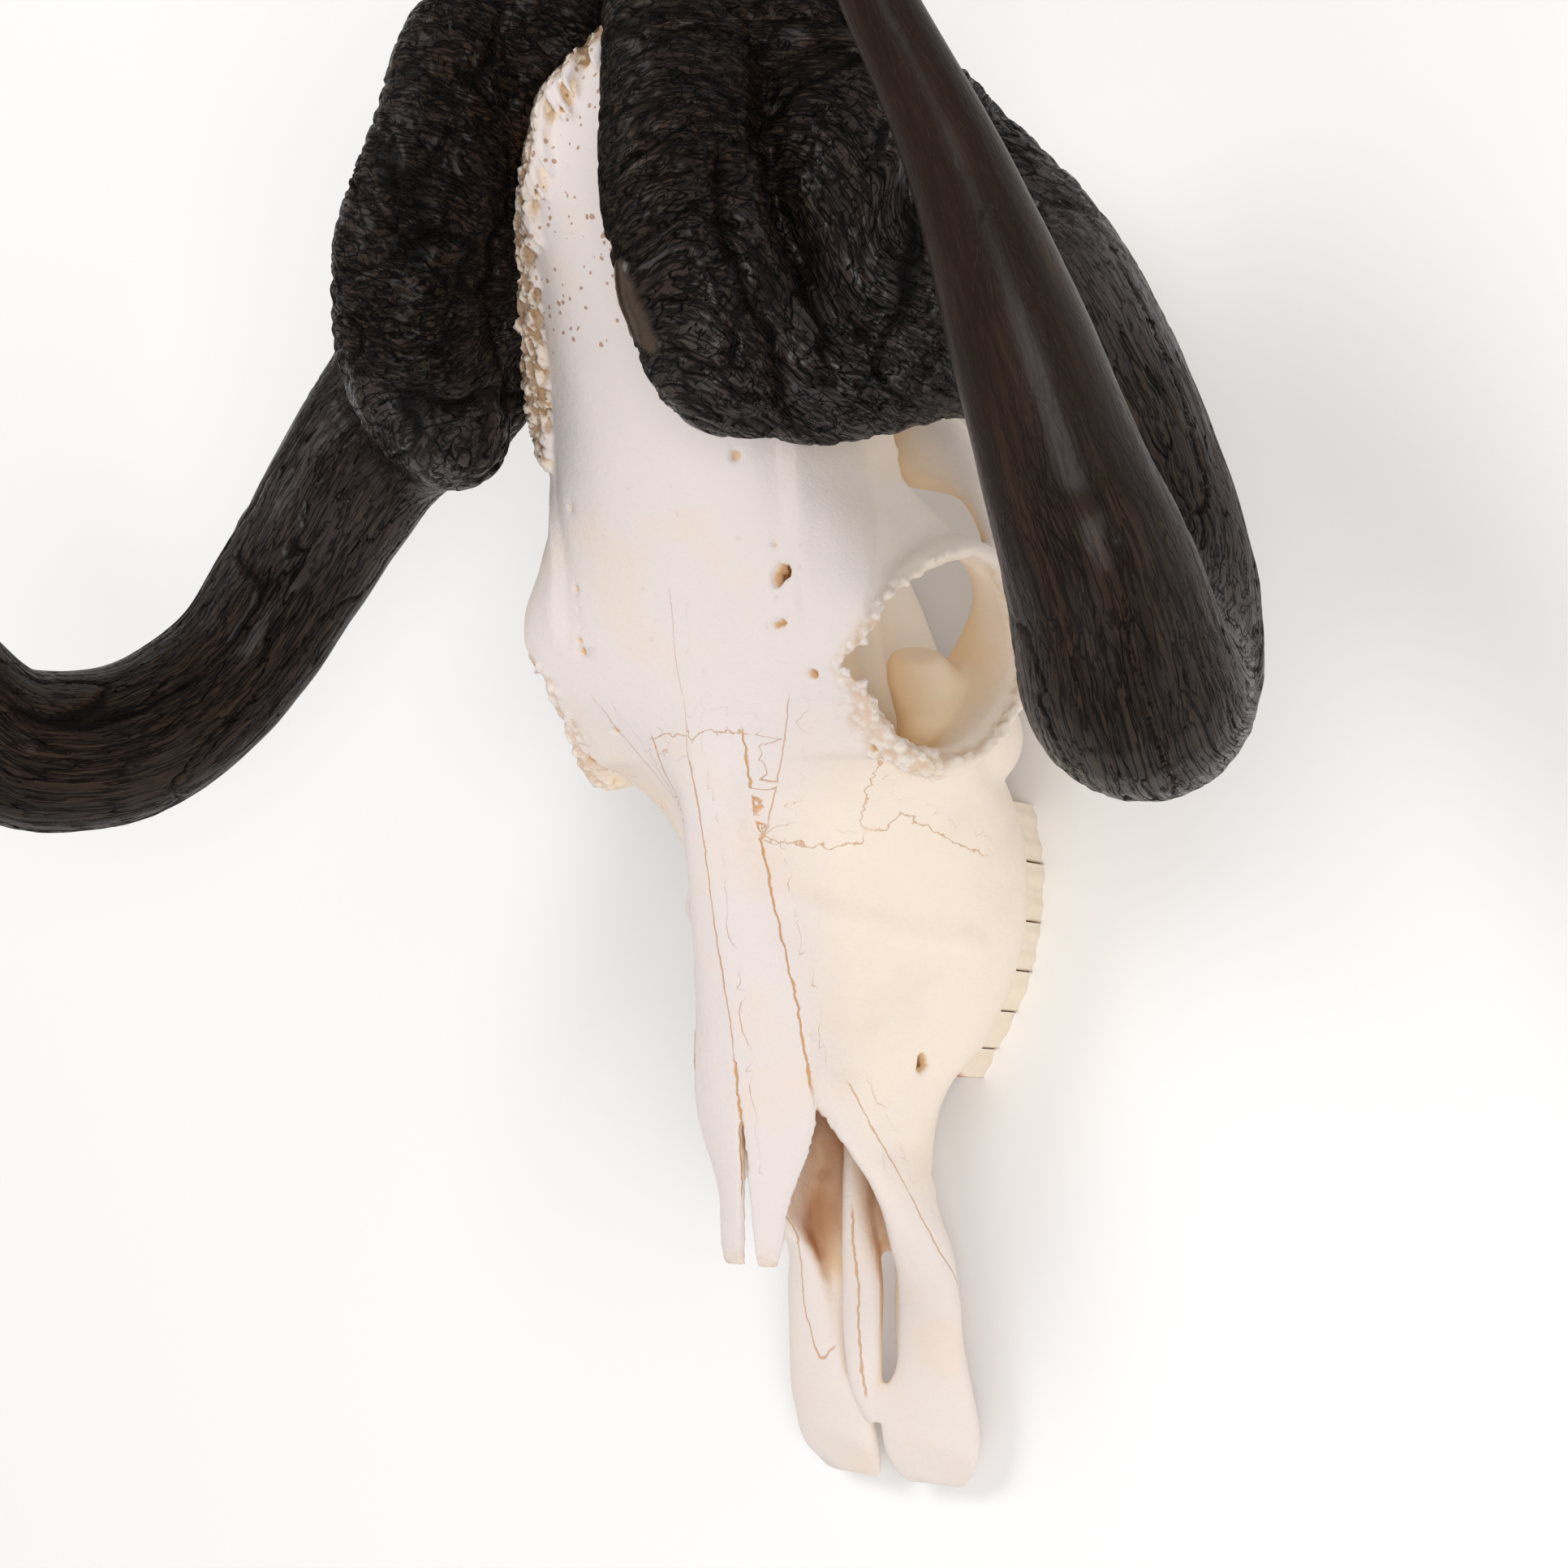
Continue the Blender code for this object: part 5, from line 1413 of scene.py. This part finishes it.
def build_sheath(side_name, side, bone, settings):
    """One sheath: its horn and boss fused, carved, and hollowed by a slightly swollen copy of the bone."""
    bm = bmesh.new()
    add_tube(bm, HORN, sides=48, side=side)
    add_tube(bm, BOSS_LOBE, sides=40, upright=(1, 0, 0), side=side)
    add_tube(bm, BOSS_FOOT, side=side)
    add_tube(bm, BOSS_SADDLE, upright=BOSS_UPRIGHT, side=side)
    add_tube(bm, BOSS_SHOULDER, sides=40, upright=BOSS_UPRIGHT, side=side)
    add_ball(bm, *BOSS_REAR, side)
    add_ball(bm, *BOSS_PADS[side_name], side)
    sheath = object_of(bm, "keratin_sheath_" + side_name)
    fuse(sheath, settings.horn_grain, 9)
    store(sheath, cleft=carve_horn(sheath, side))
    core = bone.copy()
    core.data = bone.data.copy()
    core.data.materials.clear()
    bpy.context.scene.collection.objects.link(core)
    even = core.modifiers.new("one skin", "REMESH")
    even.mode = "VOXEL"
    even.voxel_size = settings.bone_grain * 1.6
    swell = core.modifiers.new("gap", "DISPLACE")
    swell.strength = CORE_GAP * MM
    swell.mid_level = 0
    finish_modifiers(core)
    cut(sheath, core)
    keep_largest(sheath)
    keep_inside(sheath)
    thin_out(sheath, settings.most_triangles)
    points, _ = points_of(sheath)
    grown = unbend(points, side)
    boss, smooth_part = horn_zones(grown)
    # Painted sheen: greyer, lighter horn colour on the outer half of the boss and along its shoulder, where a
    # highlight falls.
    bare = ramp(grown[:, 0], 105, 150) * (1 - ramp(grown[:, 0], 230, 300))
    bare = bare * (0.55 + 0.45 * cloud(points, 30, 9))
    amber = 0.9 * amber_share(points, side)
    store(sheath, growth=grown * MM, boss=boss, bare=bare, smooth=smooth_part, amber=amber)
    sheath.data.shade_smooth()
    sheath.data.materials.clear()
    return sheath


class SKULL_OT_sheaths(bpy.types.Operator):
    """Builds the two horn sheaths, cracks their bosses and fits them over the horn cores"""

    bl_idname = "skull.sheaths"
    bl_label = "Horn sheaths"

    def execute(self, context):
        settings = context.scene.skull_settings
        bone = bpy.data.objects["bone_with_horn_cores"]
        horn = fibrous_horn(settings)
        for side_name, side in (("left", 1), ("right", -1)):
            sheath = build_sheath(side_name, side, bone, settings)
            sheath.data.materials.append(horn)
            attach(sheath, "root")
            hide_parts("horn_sheath_" + side_name)
        return {"FINISHED"}


def lobes_of(length):
    """A molar has two lobes, a premolar one."""
    return 2 if length > TWO_LOBES_FROM else 1


def crown_point(share, length, front, rear, width, lobes):
    """A point on the outline of a worn crown, once round from the front of its outer wall."""
    run = share * 2
    if run < 1:
        wall = front + (rear - front) * run
        rib = 0.9 * abs(math.cos(math.pi * lobes * run)) ** 9
        bulge = 1.5 * math.sin(math.pi * lobes * run) ** 2
        return wall + bulge + rib, run * length
    run = 2 - run
    wall = front + (rear - front) * run - width + 1.8
    bulge = 1.8 * abs(math.sin(math.pi * lobes * run)) ** 1.3
    return wall - bulge, run * length


def build_tooth(name, start, length, front, rear, width):
    """A cheek tooth of the left row: its worn face with an enamel rim, and its crown up to the root."""
    bpy.ops.object.select_all(action="DESELECT")
    bpy.ops.mesh.primitive_circle_add(
        vertices=CROWN_POINTS, radius=10 * MM, fill_type="NGON", location=(0, 0, 0))
    tooth = bpy.context.active_object
    tooth.name = name
    worn = length - JOINT_GAP
    lobes = lobes_of(length)
    outline = [crown_point(k / CROWN_POINTS, worn, front, rear, width, lobes) for k in range(CROWN_POINTS)]
    for vert, (x, y) in zip(tooth.data.vertices, outline):
        vert.co = place(x, start + y, 0)
    bpy.ops.object.mode_set(mode="EDIT")
    bpy.ops.mesh.select_all(action="SELECT")
    step = (CROWN_LEAN / CROWN_STEPS * MM, 0, CROWN_TOP / CROWN_STEPS * MM)
    for _ in range(CROWN_STEPS):
        bpy.ops.mesh.extrude_region_move(TRANSFORM_OT_translate={"value": step})
    bpy.ops.object.mode_set(mode="OBJECT")
    bm = bmesh.new()
    bm.from_mesh(tooth.data)
    ring = {v for v in bm.verts if abs(v.co.z) < 1e-6}
    edges = [e for e in bm.edges if e.verts[0] in ring and e.verts[1] in ring and len(e.link_faces) == 1]
    if edges:
        bmesh.ops.holes_fill(bm, edges=edges)
    bmesh.ops.recalc_face_normals(bm, faces=bm.faces)
    bm.to_mesh(tooth.data)
    bm.free()
    bpy.ops.object.mode_set(mode="EDIT")
    bpy.ops.mesh.select_all(action="DESELECT")
    bpy.ops.object.mode_set(mode="OBJECT")
    for face in tooth.data.polygons:
        face.select = face.normal.z < -0.9 and len(face.vertices) > 8
    bpy.ops.object.mode_set(mode="EDIT")
    bpy.ops.mesh.select_mode(type="FACE")
    bpy.ops.mesh.inset(thickness=0.8 * MM, depth=0, use_even_offset=False)
    bpy.ops.mesh.inset(thickness=0.5 * MM, depth=-0.9 * MM, use_even_offset=False)
    bpy.ops.object.mode_set(mode="OBJECT")
    return tooth


def finish_tooth(tooth, start, length):
    """Rounds the crown's edges and stores where its clefts are."""
    bevel = tooth.modifiers.new("worn edges", "BEVEL")
    bevel.width = 0.25 * MM
    bevel.segments = 2
    bevel.limit_method = "ANGLE"
    bevel.angle_limit = math.radians(50)
    finish_modifiers(tooth)
    points, _ = points_of(tooth)
    run = (points[:, 1] - start) / length
    cleft = np.abs(np.cos(np.pi * lobes_of(length) * run)) ** 6 * 0.35
    worn = (points[:, 2] > 0.5) & (points[:, 2] < 1.5)
    # The ends, where one tooth meets the next, are browned as painted shade; the folds, the floor of the worn
    # pit and the part towards the root are browner too.
    ends = np.maximum(ramp(-run, -0.05, 0.0), ramp(run, 0.95, 1.0))
    cleft = cleft + 0.3 * ends + 0.5 * worn + 0.4 * ramp(points[:, 2], 12, 20)
    store(tooth, cleft=np.clip(cleft, 0, 1))
    tooth.data.shade_smooth()


def mirrored_tooth(tooth, name):
    """The same tooth of the right row."""
    copy = tooth.copy()
    copy.data = tooth.data.copy()
    copy.name = name
    bpy.context.scene.collection.objects.link(copy)
    bm = bmesh.new()
    bm.from_mesh(copy.data)
    bmesh.ops.transform(bm, matrix=Matrix.Diagonal((-1, 1, 1, 1)), verts=bm.verts)
    bmesh.ops.reverse_faces(bm, faces=bm.faces)
    bm.to_mesh(copy.data)
    bm.free()
    return copy


class SKULL_OT_teeth(bpy.types.Operator):
    """Builds the six cheek teeth of the left row and the right row as their mirror image"""

    bl_idname = "skull.teeth"
    bl_label = "Cheek teeth"

    def execute(self, context):
        enamel = worn_tooth(context.scene.skull_settings)
        for name, *sizes in TEETH:
            left = build_tooth("tooth_" + name + "_left", *sizes)
            finish_tooth(left, *sizes[:2])
            left.data.materials.clear()
            left.data.materials.append(enamel)
            right = mirrored_tooth(left, "tooth_" + name + "_right")
            for tooth, side in ((left, "_left"), (right, "_right")):
                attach(tooth, "root")
                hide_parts(name + side)
        return {"FINISHED"}


def add_light(name, where, size, power):
    """A round soft light."""
    lamp = bpy.data.lights.new(name, "AREA")
    lamp.shape = "DISK"
    lamp.size = size
    lamp.energy = power
    made = bpy.data.objects.new(name, lamp)
    made.location = where
    made.rotation_euler = (Vector(LIGHT_TARGET) - Vector(where)).to_track_quat("-Z", "Y").to_euler()
    bpy.context.scene.collection.objects.link(made)


class SKULL_OT_stage(bpy.types.Operator):
    """Sets out the floor, the soft lights and the camera"""

    bl_idname = "skull.stage"
    bl_label = "Stage"

    def execute(self, context):
        settings = context.scene.skull_settings
        bpy.ops.object.select_all(action="DESELECT")
        bpy.ops.mesh.primitive_plane_add(size=settings.floor_size, location=(0, 0, 0))
        floor = bpy.context.active_object
        floor.name = "floor"
        floor.data.materials.append(matt_floor())

        world = bpy.data.worlds.new("pale room")
        world.use_nodes = True
        sky = world.node_tree.nodes["Background"]
        sky.inputs["Color"].default_value = linear(ROOM_WHITE)
        sky.inputs["Strength"].default_value = ROOM_LIGHT
        context.scene.world = world
        context.scene.view_settings.view_transform = "Standard"
        for light in LIGHTS:
            add_light(*light)

        lens = bpy.data.cameras.new("photo camera")
        lens.sensor_width = CAMERA_SENSOR
        lens.lens = CAMERA_FOCAL
        lens.clip_start = 0.05
        camera = bpy.data.objects.new("photo camera", lens)
        camera.matrix_world = Matrix.Translation(place(*CAMERA_PLACE)) @ Matrix(CAMERA_AXES).to_4x4()
        context.scene.collection.objects.link(camera)
        context.scene.camera = camera
        return {"FINISHED"}


class SKULL_PT_panel(bpy.types.Panel):
    """Lists the steps that build the skull"""

    bl_idname = "SKULL_PT_panel"
    bl_label = "Black Wildebeest Skull"
    bl_space_type = "VIEW_3D"
    bl_region_type = "UI"
    bl_category = "Skull"

    def draw(self, context):
        settings = context.scene.skull_settings
        for name in SkullSettings.__annotations__:
            self.layout.prop(settings, name)
        for step in STEPS:
            self.layout.operator(step.bl_idname)


STEPS = (SKULL_OT_stage, SKULL_OT_bone, SKULL_OT_sheaths, SKULL_OT_teeth)
CLASSES = (SkullSettings, *STEPS, SKULL_PT_panel)


def register():
    for cls in CLASSES:
        bpy.utils.register_class(cls)
    bpy.types.Scene.skull_settings = bpy.props.PointerProperty(type=SkullSettings)


def unregister():
    del bpy.types.Scene.skull_settings
    for cls in reversed(CLASSES):
        bpy.utils.unregister_class(cls)


def main():
    """Builds the stage and the pieces."""
    register()
    bpy.ops.skull.stage()
    bpy.ops.skull.bone()
    bpy.ops.skull.sheaths()
    bpy.ops.skull.teeth()


if __name__ == "__main__":
    main()
